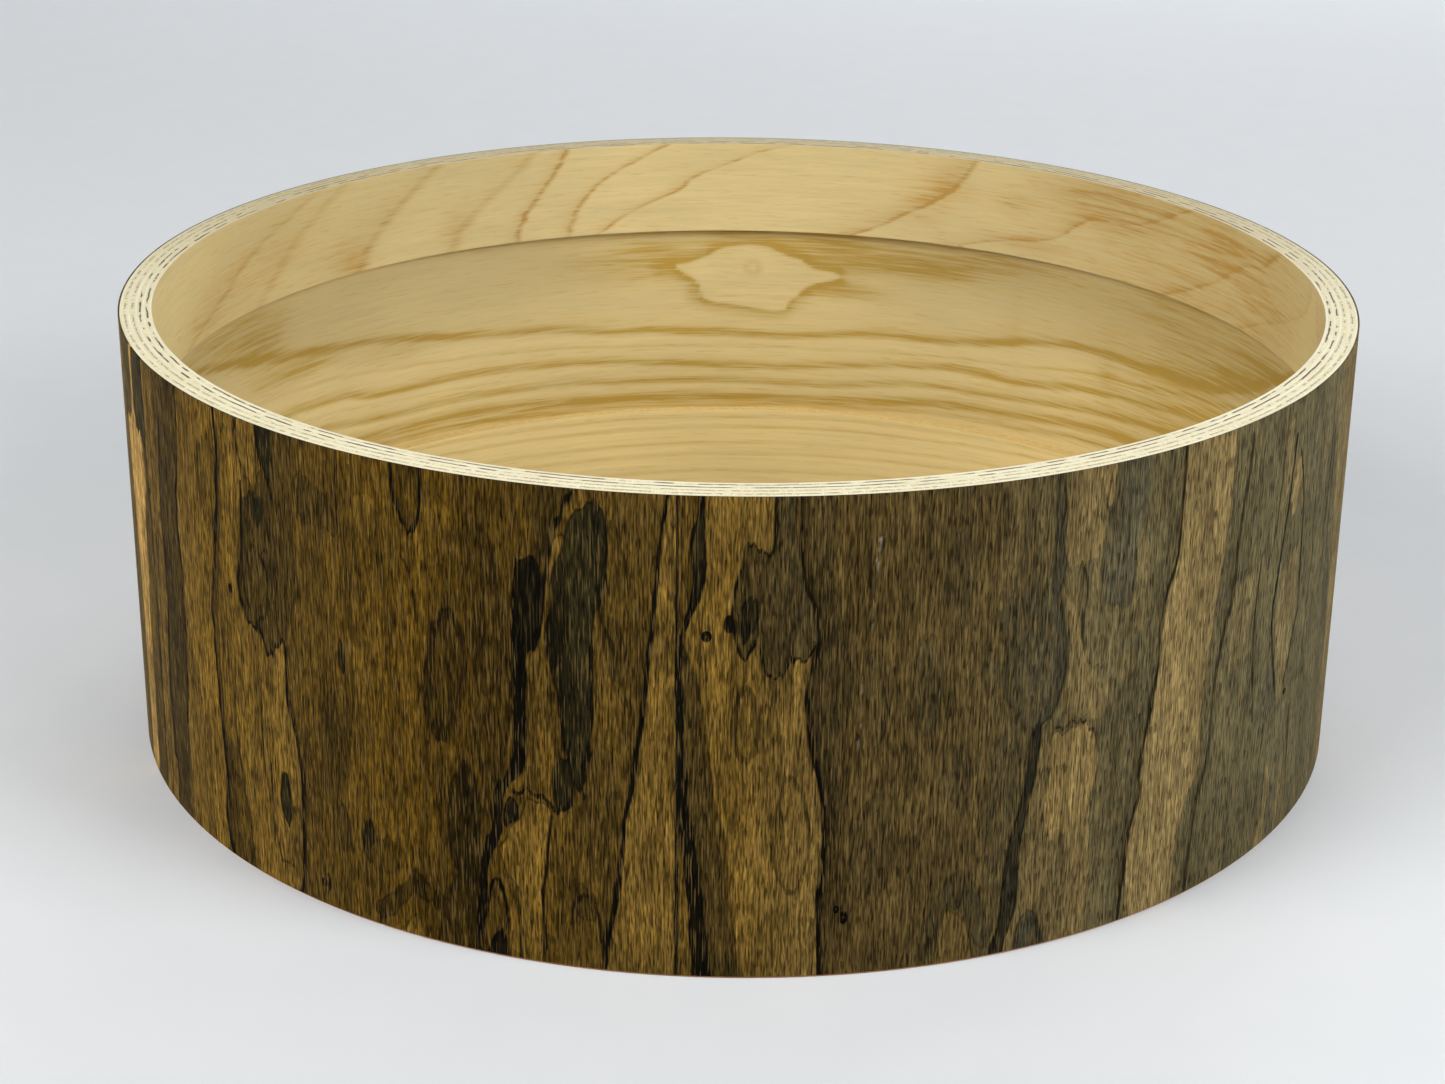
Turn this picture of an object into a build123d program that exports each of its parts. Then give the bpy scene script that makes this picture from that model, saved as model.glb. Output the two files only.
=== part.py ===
import os
from math import cos, degrees, radians, sin

from build123d import *

# A bare plywood drum shell, standing on its lower edge.
#
# The wall is a stack of wood strips, each wrapped into a cylinder and glued inside the one before it: a dark
# figured face veneer, five shell plies and, at each end, a four-ply reinforcement ring. The plies alternate
# between grain that runs round the shell and grain that runs up it.
#
# Lengths are in millimetres. +Z is up along the shell's axis and the origin is the centre of the lower edge.
# An azimuth is an angle in degrees about the axis, from the front (-Y) towards the right (+X).

os.makedirs("parts", exist_ok=True)

# Driving dimensions
shell_diameter = 354.0  # outside, a little under 14 inches so that a 14 inch head slips over it
shell_depth = 128.5  # a 5 inch deep shell, with about 1.5 mm left for cutting its edges
veneer_thickness = 0.5
veneer_lift = 0.7  # the veneer stops this far above the lower edge, where sanding went through it
shell_ply_thicknesses = [0.7, 1.4, 0.7, 1.4, 0.8]  # from the outside in
ring_ply_thicknesses = [1.1, 0.8, 1.1, 0.8]  # from the outside in
ring_height = 31.0
corner_bevel = 0.2  # on the lower outside corner of the first shell ply
seam_gap = 0.1  # the butt seam where a strip's two ends meet

# Where each strip starts, as an azimuth. Its seam is there, and the seams are staggered round the shell.
quarter_turn = 90.0
full_turn = 360.0
veneer_starts = {"front_left": -94.4, "front_right": -4.4, "back_right": 85.6, "back_left": 175.6}
shell_ply_starts = [140.0, 96.0, 214.0, -66.0, 20.0]
top_ring_ply_starts = [-38.0, 128.0, 250.0, 5.0]
bottom_ring_ply_starts = [52.0, -120.0, 160.0, -20.0]

# Derived dimensions
outside_radius = shell_diameter / 2
core_radius = outside_radius - veneer_thickness
ring_outside_radius = core_radius - sum(shell_ply_thicknesses)


def radial_plane(azimuth):
    """The upright half plane at an azimuth: x points away from the shell's axis and y points up."""
    turn = radians(azimuth)
    return Plane(
        origin=(0, 0, 0),
        x_dir=(sin(turn), -cos(turn), 0),
        z_dir=(-cos(turn), -sin(turn), 0),
    )


def wrapped_strip(name, radius, thickness, low, high, start, arc, bevel=0.0):
    """Writes a strip wrapped round the axis, from its outside radius, two heights, start and arc.

    The strip loses half a seam gap at each end. The bevel is on its low outside corner.
    """
    half_gap = degrees(seam_gap / 2 / radius)
    with BuildPart() as strip:
        with BuildSketch(radial_plane(start + half_gap)):
            with Locations((radius - thickness, low)):
                Rectangle(thickness, high - low, align=(Align.MIN, Align.MIN))
        revolve(axis=Axis.Z, revolution_arc=arc - 2 * half_gap)
        if bevel:
            corner = strip.edges().filter_by(GeomType.CIRCLE).group_by(Axis.Z)[0].sort_by(SortBy.RADIUS)[-1]
            chamfer(corner, bevel)
    strip.part.label = name
    export_step(strip.part, f"parts/{name}.step")


def stacked_plies(prefix, radius, thicknesses, starts, low, high, bevel=0.0):
    """Writes plies glued one inside the other, numbered from the outside in. The bevel is on the first."""
    for number, (thickness, start) in enumerate(zip(thicknesses, starts), start=1):
        wrapped_strip(f"{prefix}_{number}", radius, thickness, low, high, start, full_turn, bevel)
        radius -= thickness
        bevel = 0.0


# Face veneer: four leaves, each a quarter of the way round
for quarter, start in veneer_starts.items():
    wrapped_strip(
        f"face_veneer_{quarter}",
        outside_radius,
        veneer_thickness,
        veneer_lift,
        shell_depth,
        start,
        quarter_turn,
    )

# Shell plies, over the whole depth. The first one shows as a thin line below the veneer.
stacked_plies(
    "shell_ply",
    core_radius,
    shell_ply_thicknesses,
    shell_ply_starts,
    0,
    shell_depth,
    bevel=corner_bevel,
)

# Reinforcement rings, flush with the shell's two edges
stacked_plies(
    "top_ring_ply",
    ring_outside_radius,
    ring_ply_thicknesses,
    top_ring_ply_starts,
    shell_depth - ring_height,
    shell_depth,
)
stacked_plies(
    "bottom_ring_ply",
    ring_outside_radius,
    ring_ply_thicknesses,
    bottom_ring_ply_starts,
    0,
    ring_height,
)
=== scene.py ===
"""Bare drum shell: figured dark veneer on a five-ply shell, with a reinforcing ring inside each edge.

Units are metres in the CAD frame. The origin is the centre of the lower edge, Z is up, and the front is
towards -Y. The wood figure is drawn as outlines and lines of (azimuth in degrees, height in millimetres).
Azimuth 0 is the front, and it grows towards +X.
"""
import math

import bpy
import numpy as np
from mathutils import Matrix, Vector


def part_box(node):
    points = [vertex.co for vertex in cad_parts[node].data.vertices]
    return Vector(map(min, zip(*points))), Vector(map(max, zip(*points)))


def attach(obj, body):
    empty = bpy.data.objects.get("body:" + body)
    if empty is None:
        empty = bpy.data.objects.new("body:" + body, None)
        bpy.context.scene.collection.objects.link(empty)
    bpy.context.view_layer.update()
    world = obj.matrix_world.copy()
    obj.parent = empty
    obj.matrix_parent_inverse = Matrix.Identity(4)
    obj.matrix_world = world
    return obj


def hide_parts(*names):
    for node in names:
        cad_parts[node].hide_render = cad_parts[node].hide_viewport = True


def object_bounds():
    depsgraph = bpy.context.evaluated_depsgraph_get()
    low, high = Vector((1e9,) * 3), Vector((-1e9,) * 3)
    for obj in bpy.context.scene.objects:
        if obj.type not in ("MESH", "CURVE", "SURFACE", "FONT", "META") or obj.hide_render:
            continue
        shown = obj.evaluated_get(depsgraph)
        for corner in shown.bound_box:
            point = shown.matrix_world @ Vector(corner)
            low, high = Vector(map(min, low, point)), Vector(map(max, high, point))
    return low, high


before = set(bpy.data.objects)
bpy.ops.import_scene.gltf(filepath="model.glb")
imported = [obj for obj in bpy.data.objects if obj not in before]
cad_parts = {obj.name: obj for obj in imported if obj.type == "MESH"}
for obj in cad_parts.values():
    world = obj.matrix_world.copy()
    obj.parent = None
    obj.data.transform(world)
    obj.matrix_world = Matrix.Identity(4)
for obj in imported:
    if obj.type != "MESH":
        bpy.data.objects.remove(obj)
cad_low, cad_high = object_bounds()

MM = 0.001

# ---------------------------------------------------------------- sizes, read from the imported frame

SHELL_RADIUS = (cad_high.x - cad_low.x) / 2
SHELL_HEIGHT = cad_high.z
VENEER_LEAVES = ["front_left", "front_right", "back_right", "back_left"]
LEAF_START = {"front_left": -94.4, "front_right": -4.4, "back_right": 85.6, "back_left": 175.6}
LEAF_SWEEP = 90.0
SEAM_GAP = 0.1 * MM
VENEER_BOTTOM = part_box("face_veneer_front_left")[0].z
PLY_SEAMS = {
    "shell_ply_1": 140, "shell_ply_2": 96, "shell_ply_3": 214, "shell_ply_4": -66, "shell_ply_5": 20,
    "top_ring_ply_1": -38, "top_ring_ply_2": 128, "top_ring_ply_3": 250, "top_ring_ply_4": 5,
    "bottom_ring_ply_1": 52, "bottom_ring_ply_2": -120, "bottom_ring_ply_3": 160, "bottom_ring_ply_4": -20,
}
LAST_PLY_THICKNESS = 0.8 * MM
LOWER_BEVEL = 0.2 * MM
DEGREE_ARC = math.radians(1) * SHELL_RADIUS / MM  # millimetres of veneer in one degree


def outer_radius(node):
    low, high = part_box(node)
    return (high.x - low.x) / 2


SHELL_INNER_RADIUS = outer_radius("top_ring_ply_1")
RING_INNER_RADIUS = outer_radius("top_ring_ply_4") - LAST_PLY_THICKNESS
RING_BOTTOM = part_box("top_ring_ply_1")[0].z
LOW_RING_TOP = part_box("bottom_ring_ply_1")[1].z

# ---------------------------------------------------------------- number helpers for the wood figure

LATTICE = 256  # the noise repeats after this many bumps


def lattice_noise(x, z, seed):
    """Smooth noise from -1 to 1, one bump to a unit of x and of z."""
    values = np.random.default_rng(seed).uniform(-1, 1, (LATTICE, LATTICE))
    column = np.floor(x).astype(int)
    row = np.floor(z).astype(int)
    across = x - column
    along = z - row
    across = across * across * (3 - 2 * across)
    along = along * along * (3 - 2 * along)
    left = values[column % LATTICE, row % LATTICE] * (1 - along)
    left = left + values[column % LATTICE, (row + 1) % LATTICE] * along
    right = values[(column + 1) % LATTICE, row % LATTICE] * (1 - along)
    right = right + values[(column + 1) % LATTICE, (row + 1) % LATTICE] * along
    return left * (1 - across) + right * across


def layered(layers, x, z, seed):
    """Sum of noises. A layer is (amount, a bump's size round the shell and up it in mm, step of the seed)."""
    total = np.zeros(x.shape)
    for amount, wide, tall, step in layers:
        total = total + amount * lattice_noise(x / wide, z / tall, seed + step)
    return total


def smooth_step(low, high, value):
    t = np.clip((value - low) / (high - low), 0, 1)
    return t * t * (3 - 2 * t)


def rounded_path(points, closed, steps=4):
    """More points on a smooth curve through the given ones."""
    given = np.array(points, float)
    if closed:
        padded = np.vstack([given[-1:], given, given[:2]])
    else:
        padded = np.vstack([2 * given[0] - given[1], given, 2 * given[-1] - given[-2]])
    path = []
    for i in range(1, len(padded) - 2):
        before, here, after, beyond = padded[i - 1 : i + 3]
        for step in range(steps):
            t = step / steps
            bend = (2 * here) + (after - before) * t + (2 * before - 5 * here + 4 * after - beyond) * t * t
            bend = bend + (3 * here - before - 3 * after + beyond) * t ** 3
            path.append(bend / 2)
    if not closed:
        path.append(given[-1])
    return np.array(path)


FAR = 12.0  # millimetres, the distance beyond which a shape has no effect
TINY = 1e-12  # keeps two points in one place from dividing by zero


def edge_distance(path, x, z, closed):
    """Distance in millimetres to a path, and whether each point is inside it."""
    nearest = np.full(x.shape, FAR)
    inside = np.zeros(x.shape, bool)
    low = path.min(0) - FAR
    high = path.max(0) + FAR
    near = (x > low[0]) & (x < high[0]) & (z > low[1]) & (z < high[1])
    px = x[near]
    pz = z[near]
    best = np.full(px.shape, FAR)
    within = np.zeros(px.shape, bool)
    count = len(path) if closed else len(path) - 1
    for i in range(count):
        ax, az = path[i]
        bx, bz = path[(i + 1) % len(path)]
        length = (bx - ax) ** 2 + (bz - az) ** 2 + TINY
        share = np.clip(((px - ax) * (bx - ax) + (pz - az) * (bz - az)) / length, 0, 1)
        best = np.minimum(best, np.hypot(px - ax - share * (bx - ax), pz - az - share * (bz - az)))
        if closed and az != bz:
            crosses = (az > pz) != (bz > pz)
            within ^= crosses & (px < (bx - ax) * (pz - az) / (bz - az) + ax)
    nearest[near] = best
    inside[near] = within
    return nearest, inside


def in_millimetres(points):
    """Given (azimuth, height) points as millimetres round and up the veneer."""
    return [(azimuth * DEGREE_ARC, height) for azimuth, height in points]


# ---------------------------------------------------------------- the figure of the two front leaves

# Each patch is (strength, outline). Golden patches lie on the plain brown ground.
GOLD_LEFT = [
    (0.45, [(-93, 128), (-92.5, 60), (-93.4, 0), (-91.2, 0), (-90.6, 50), (-90.9, 128)]),
    (0.6, [(-88.5, 128), (-88, 90), (-87.2, 40), (-87.6, 0), (-83.4, 0), (-84.4, 60), (-83.8, 128)]),
    (0.35, [(-76.8, 128), (-75.8, 90), (-76.5, 45), (-75, 0), (-73.4, 0), (-73.6, 60), (-73.2, 128)]),
    (0.8, [(-63.6, 129), (-63.4, 80), (-63.4, 40), (-64.2, -1), (-60.7, -1), (-60.5, 15), (-61, 30),
        (-60.8, 50), (-60, 64), (-60.1, 90), (-59.6, 108), (-60.3, 114), (-60.5, 129)]),
    (0.85, [(-55.2, 129), (-55.5, 112), (-56.2, 98), (-56.2, 65), (-56.7, 40), (-57.2, 25), (-57.1, -1),
        (-49.6, -1), (-50, 12), (-49.7, 30), (-50.2, 50), (-50.5, 70), (-49.5, 86), (-48.9, 97),
        (-48.6, 110), (-48.6, 129)]),
    (0.75, [(-48, 129), (-48, 115), (-48.4, 100), (-48.8, 86), (-49.6, 70), (-49.5, 50), (-49.2, 33),
        (-46.6, 20), (-46, 3), (-45.9, -1), (-39.8, -1), (-39, 10), (-38.8, 30), (-39.2, 45), (-40, 55),
        (-40.1, 72), (-41.3, 70), (-42.3, 65.5), (-43.2, 71), (-44, 72.5), (-45, 72.5), (-46, 80),
        (-45.9, 85), (-45.2, 95), (-44.8, 110), (-44.6, 115), (-45.2, 129)]),
    (0.7, [(-45, 129), (-44.6, 116), (-44, 113), (-43, 111), (-42.6, 118), (-42.6, 129)]),
    (0.9, [(-13.3, 118), (-12.9, 113), (-13.6, 108), (-14.4, 103), (-14.5, 108), (-14.1, 114)]),
    (0.95, [(-16.4, 46.5), (-15.4, 46), (-14.6, 42), (-15, 28), (-15.4, 20), (-15.3, 5), (-15.2, -1),
        (-17.2, -1), (-17.4, 14), (-17.6, 21), (-18.3, 23), (-19, 30), (-18.6, 33), (-17.7, 38),
        (-17, 42)]),
    (0.62, [(-4.9, 129), (-5.7, 115), (-6, 100), (-6.5, 85), (-7, 73), (-7.6, 60), (-8, 48), (-8.7, 36),
        (-9.1, 22), (-9.9, 10), (-10.1, -1), (-4, -1), (-4, 129)]),
    (0.75, [(-28.3, -1), (-27.9, 3), (-27, 6.5), (-26.2, 3.5), (-25.9, -1)]),
    (0.2, [(-16.3, 86), (-14.7, 84), (-13.9, 76), (-13.8, 60), (-14.8, 53), (-16.6, 50), (-17.3, 50),
        (-16.4, 60)]),
    (0.65, [(-20.7, 10), (-20.4, 14), (-19.9, 17), (-19.2, 14), (-19.3, 9), (-20, 4), (-20.4, 6)]),
    (0.4, [(-19.2, 24), (-18.3, 20), (-17.6, 14), (-17.3, 2), (-18.3, 4), (-18.4, 12), (-19.4, 17)]),
    (0.25, [(-31.8, 117), (-31, 106), (-29.4, 104), (-27.4, 106), (-26.4, 110), (-27.4, 116),
        (-28.6, 119)]),
    (0.25, [(-25.4, 121), (-23, 120.5), (-22, 112), (-24, 104), (-26, 104), (-26.2, 110)]),
    (0.2, [(-33, 77), (-31.6, 77), (-30.6, 68), (-31.6, 62), (-32.4, 68)]),
]
GOLD_RIGHT = [
    (0.58, [(-2.1, 129), (-2.2, 113), (-2.9, 103), (-3.6, 97), (-3.9, 92), (-3.3, 85), (-2.6, 75), (-2, 64),
        (-1.6, 52), (-0.9, 42), (-0.5, 30), (0, 18), (0.5, 8), (0.9, -1), (7, -1), (6.6, 10), (6.7, 18),
        (7.1, 38), (6.8, 50), (6.1, 60), (5.6, 72), (5.6, 80), (6.3, 91), (5.6, 98), (3, 100), (2.9, 112),
        (3, 120), (3.1, 129)]),
    (0.85, [(38.7, 129), (38.7, 105), (38.4, 97), (37.3, 84), (37.2, 70), (36.5, 56), (36, 42), (36.2, 35),
        (35.2, 25), (34.9, 10), (35.6, -1), (40.5, -1), (40.5, 12), (41.5, 27), (43.2, 38), (42.9, 55),
        (43.5, 72), (44, 85), (44.5, 100), (44.7, 129)]),
    (0.5, [(26.9, 129), (26.8, 105), (27.3, 103), (29.9, 105), (30.4, 112), (29.8, 120), (30.2, 129)]),
    (0.95, [(30.4, 129), (30.2, 122), (30.6, 118.5), (31.3, 120), (31.8, 129)]),
    (1.0, [(26.3, 58), (26.9, 59.5), (28.5, 60), (29.6, 60), (30.4, 58), (30.9, 54), (31.2, 47), (30.6, 40),
        (30.4, 33), (29, 32), (27.6, 31), (26.5, 31), (26, 38), (26.3, 50)]),
    (0.6, [(28.2, 33), (30.4, 34), (30.8, 20), (30.9, 8), (30.6, -1), (27, -1), (28, 10), (28.4, 20)]),
    (0.28, [(25.4, 66), (24.6, 45), (24.4, 35), (24, 20), (24, 12), (23, 3), (23, -1), (24.3, -1),
        (24.5, 10), (26, 8), (27.2, 4), (28, 12), (28, 30), (26.2, 31), (26, 45), (26.2, 60)]),
    (0.7, [(16.8, -1), (17.2, 10), (18, 15.5), (18.8, 13.5), (19.6, 8), (20, -1)]),
    (0.35, [(26.8, 97), (27.6, 85), (27.9, 78), (27.2, 68), (28.5, 63), (31, 62), (31.6, 70), (29.4, 78),
        (28, 92)]),
    (0.75, [(55.9, 112.5), (56.8, 107), (56.5, 100), (55.6, 96), (54.9, 100), (55.1, 107)]),
    (0.4, [(55.6, 83), (56.9, 86), (57.7, 76), (58, 67), (57, 52), (56.4, 44), (55.5, 43), (54.8, 50),
        (54.2, 60), (53.6, 68), (54.2, 78)]),
    (0.55, [(53, -1), (53.2, 8), (54, 8), (54.4, 24), (55, 22), (55, 8), (54.8, -1)]),
    (0.4, [(57.2, -1), (57.4, 22), (58.4, 23), (58.9, 10), (59.4, -1)]),
    (0.35, [(46.4, 86), (46.3, 62), (47.6, 60), (48.4, 64), (49.3, 80), (49.4, 88), (47.6, 84)]),
    (0.3, [(52.8, 122), (54.6, 122), (54.3, 104), (53, 100), (53, 112)]),
    (0.3, [(33.8, 107), (34.8, 108), (35.4, 100), (35, 84), (34, 84), (33.6, 96)]),
    (0.3, [(32.6, 74), (33.9, 76), (34.4, 71), (33.2, 68)]),
    (0.5, [(66.5, 129), (67.3, 100), (69, 72), (69.6, 50), (71, 20), (72.5, -1), (80, -1), (79, 60),
        (80, 129)]),
    (0.7, [(82.2, 129), (82.8, 60), (82, -1), (84.6, -1), (84.2, 70), (84.8, 129)]),
]

# Dark greenish patches lie over the gold.
DARK_LEFT = [
    (0.4, [(-72.2, 129), (-72.8, 108), (-71.4, 106), (-69.4, 107), (-68.6, 112), (-68.4, 129)]),
    (0.9, [(-67, 129), (-67.2, 112), (-66.6, 107.6), (-65.2, 105), (-63.8, 104), (-63.7, 129)]),
    (0.55, [(-59.9, 127), (-57.5, 129), (-55.2, 129), (-55.4, 112), (-56.1, 100), (-56.3, 95), (-56.1, 65),
        (-56.6, 40), (-57.1, 30), (-57, -1), (-60.5, -1), (-60.3, 15), (-61, 17), (-60.7, 30), (-60.4, 50),
        (-59.8, 64), (-60, 90), (-59.8, 100), (-59.2, 115)]),
    (0.5, [(-60.4, 126.5), (-58, 127), (-57.6, 118), (-59.2, 115), (-60.4, 116)]),
    (0.45, [(-58, 66), (-56.4, 60), (-56.7, 40), (-57.2, 28), (-59.4, 18), (-60.4, 22), (-59.6, 34),
        (-58.8, 46)]),
    (0.3, [(-49, 120), (-50.2, 118), (-50.9, 108), (-50.6, 98), (-49.4, 95), (-48.7, 99), (-48.6, 110)]),
    (0.4, [(-49.3, 34), (-48.2, 35), (-46.8, 28), (-46.4, 20), (-46, 3), (-45.9, -1), (-49, -1),
        (-49.9, 11), (-49.5, 20)]),
    (1.2, [(-42.5, 129), (-41.9, 120), (-41.3, 115), (-40.6, 116), (-40.2, 129)]),
    (0.58, [(-42.4, 116), (-41.3, 115), (-40.7, 106), (-40.4, 96), (-39.6, 88), (-39, 82), (-39.4, 77),
        (-40, 73), (-41.3, 70), (-42.3, 65.5), (-43.2, 71), (-43.6, 74), (-44, 72.5), (-45, 72.5),
        (-45.3, 76), (-45.9, 80), (-46, 85), (-45.2, 95), (-44.8, 106), (-44.2, 108), (-43.4, 110)]),
    (1.1, [(-44.2, 107), (-43.2, 110), (-42.2, 110), (-42, 104), (-43, 102)]),
    (1.0, [(-13, 118), (-12.5, 123), (-10.5, 125.5), (-9.9, 120), (-10.1, 105), (-11.2, 90), (-11.1, 70),
        (-11.4, 62), (-12, 50), (-12.6, 52), (-13, 57), (-13.5, 62), (-13.6, 68), (-13.9, 76), (-14.6, 84),
        (-14.8, 90), (-14.4, 98), (-14.3, 105), (-13.4, 112)]),
    (1.75, [(-14.7, 92), (-14.2, 99), (-13.4, 102), (-12.8, 98), (-13, 88), (-13.8, 82), (-14.6, 84)]),
    (1.1, [(-14.4, 54), (-13.9, 57), (-13.2, 57), (-12.8, 53), (-12.9, 47), (-13.5, 43.5), (-14.2, 45)]),
    (1.95, [(-17.2, 107), (-16.6, 109), (-15.2, 108), (-14.9, 104), (-15.1, 95), (-15.5, 87.5), (-16.4, 85),
        (-16.6, 76), (-17.2, 80), (-17.4, 92)]),
    (0.6, [(-15.5, 129), (-15.7, 118), (-15.4, 106), (-14.8, 106), (-14.4, 114), (-13.9, 119), (-13.2, 124),
        (-12.4, 129)]),
    (1.7, [(-19.8, 5), (-19.1, 7), (-18.5, 4), (-18.4, -1), (-20.4, -1)]),
    (1.15, [(-41.6, 26), (-41.3, 32), (-40.9, 34.5), (-40.5, 32), (-40.3, 25), (-40.6, 20), (-41.2, 20.5)]),
    (0.35, [(-27.8, 129), (-27.7, 120), (-26.6, 111.8), (-25.4, 119), (-25.2, 129)]),
    (0.45, [(-24.6, 89), (-23, 92), (-21.8, 86), (-22, 74), (-23.2, 62), (-24.3, 57), (-25.2, 66),
        (-25.3, 78)]),
    (0.9, [(-33.9, 71), (-33.8, 75), (-33.5, 77.5), (-33.2, 74), (-33.3, 70.5), (-33.6, 68.5)]),
    (1.0, [(-32.2, 22), (-31.9, 27), (-31.3, 31), (-30.9, 27), (-31.1, 22), (-31.7, 18)]),
    (0.65, [(-31, 7), (-29, 12), (-27.5, 16.5), (-26.6, 19), (-25, 14.5), (-23.8, 12), (-24, 7),
        (-25.5, 11), (-26.6, 12.5), (-28, 10), (-29, 5), (-30.5, 3)]),
    (0.72, [(-23.3, 46), (-22.2, 52), (-21.2, 48), (-20.7, 38), (-20.8, 28), (-21.5, 18), (-22.8, 22),
        (-23.6, 30)]),
    (1.3, [(-18.3, 44), (-17.6, 45), (-17.3, 42), (-17.9, 38), (-18.5, 39)]),
    (0.5, [(-38, 117), (-37, 120), (-35.4, 116), (-33.5, 112), (-33.8, 107), (-36, 106), (-37.4, 108)]),
    (0.4, [(-40.8, 129), (-40.9, 100), (-40, 84), (-38.2, 86), (-38.6, 104), (-38.2, 129)]),
    (0.4, [(-13, 24), (-11.6, 24), (-10.6, 18), (-11.4, 14), (-12.8, 17)]),
    (0.35, [(-35.8, 60), (-34.2, 64), (-33, 58), (-33.4, 44), (-35, 30), (-36.2, 36), (-36.4, 50)]),
    (0.35, [(-21.8, 112), (-20.6, 118), (-19.2, 112), (-18.4, 96), (-18.6, 80), (-20, 72), (-21.4, 84),
        (-21.6, 100)]),
    (0.3, [(-20.8, 70), (-19, 66), (-18.4, 56), (-19.6, 48), (-21, 54)]),
    (0.3, [(-11.2, 60), (-9.6, 61), (-9.2, 50), (-9.8, 38), (-11, 30), (-12.2, 36), (-12, 50)]),
    (0.45, [(-10.3, 98), (-9.2, 96), (-8.2, 86), (-8.8, 80), (-9.6, 82), (-10.2, 90)]),
    (0.55, [(-24.6, 4), (-23.2, 20), (-21.4, 24), (-20.9, 8), (-21.2, -1), (-24.4, -1)]),
    (0.3, [(-31.5, 24), (-29.4, 26), (-27.8, 22), (-29.2, 17), (-31, 18)]),
    (0.35, [(-15.7, 84), (-14.8, 82), (-14.4, 72), (-14.9, 64), (-15.6, 68), (-15.9, 76)]),
    (0.55, [(-34.7, 27), (-34, 32), (-33.4, 27), (-33.7, 20), (-34.4, 18)]),
]
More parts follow.
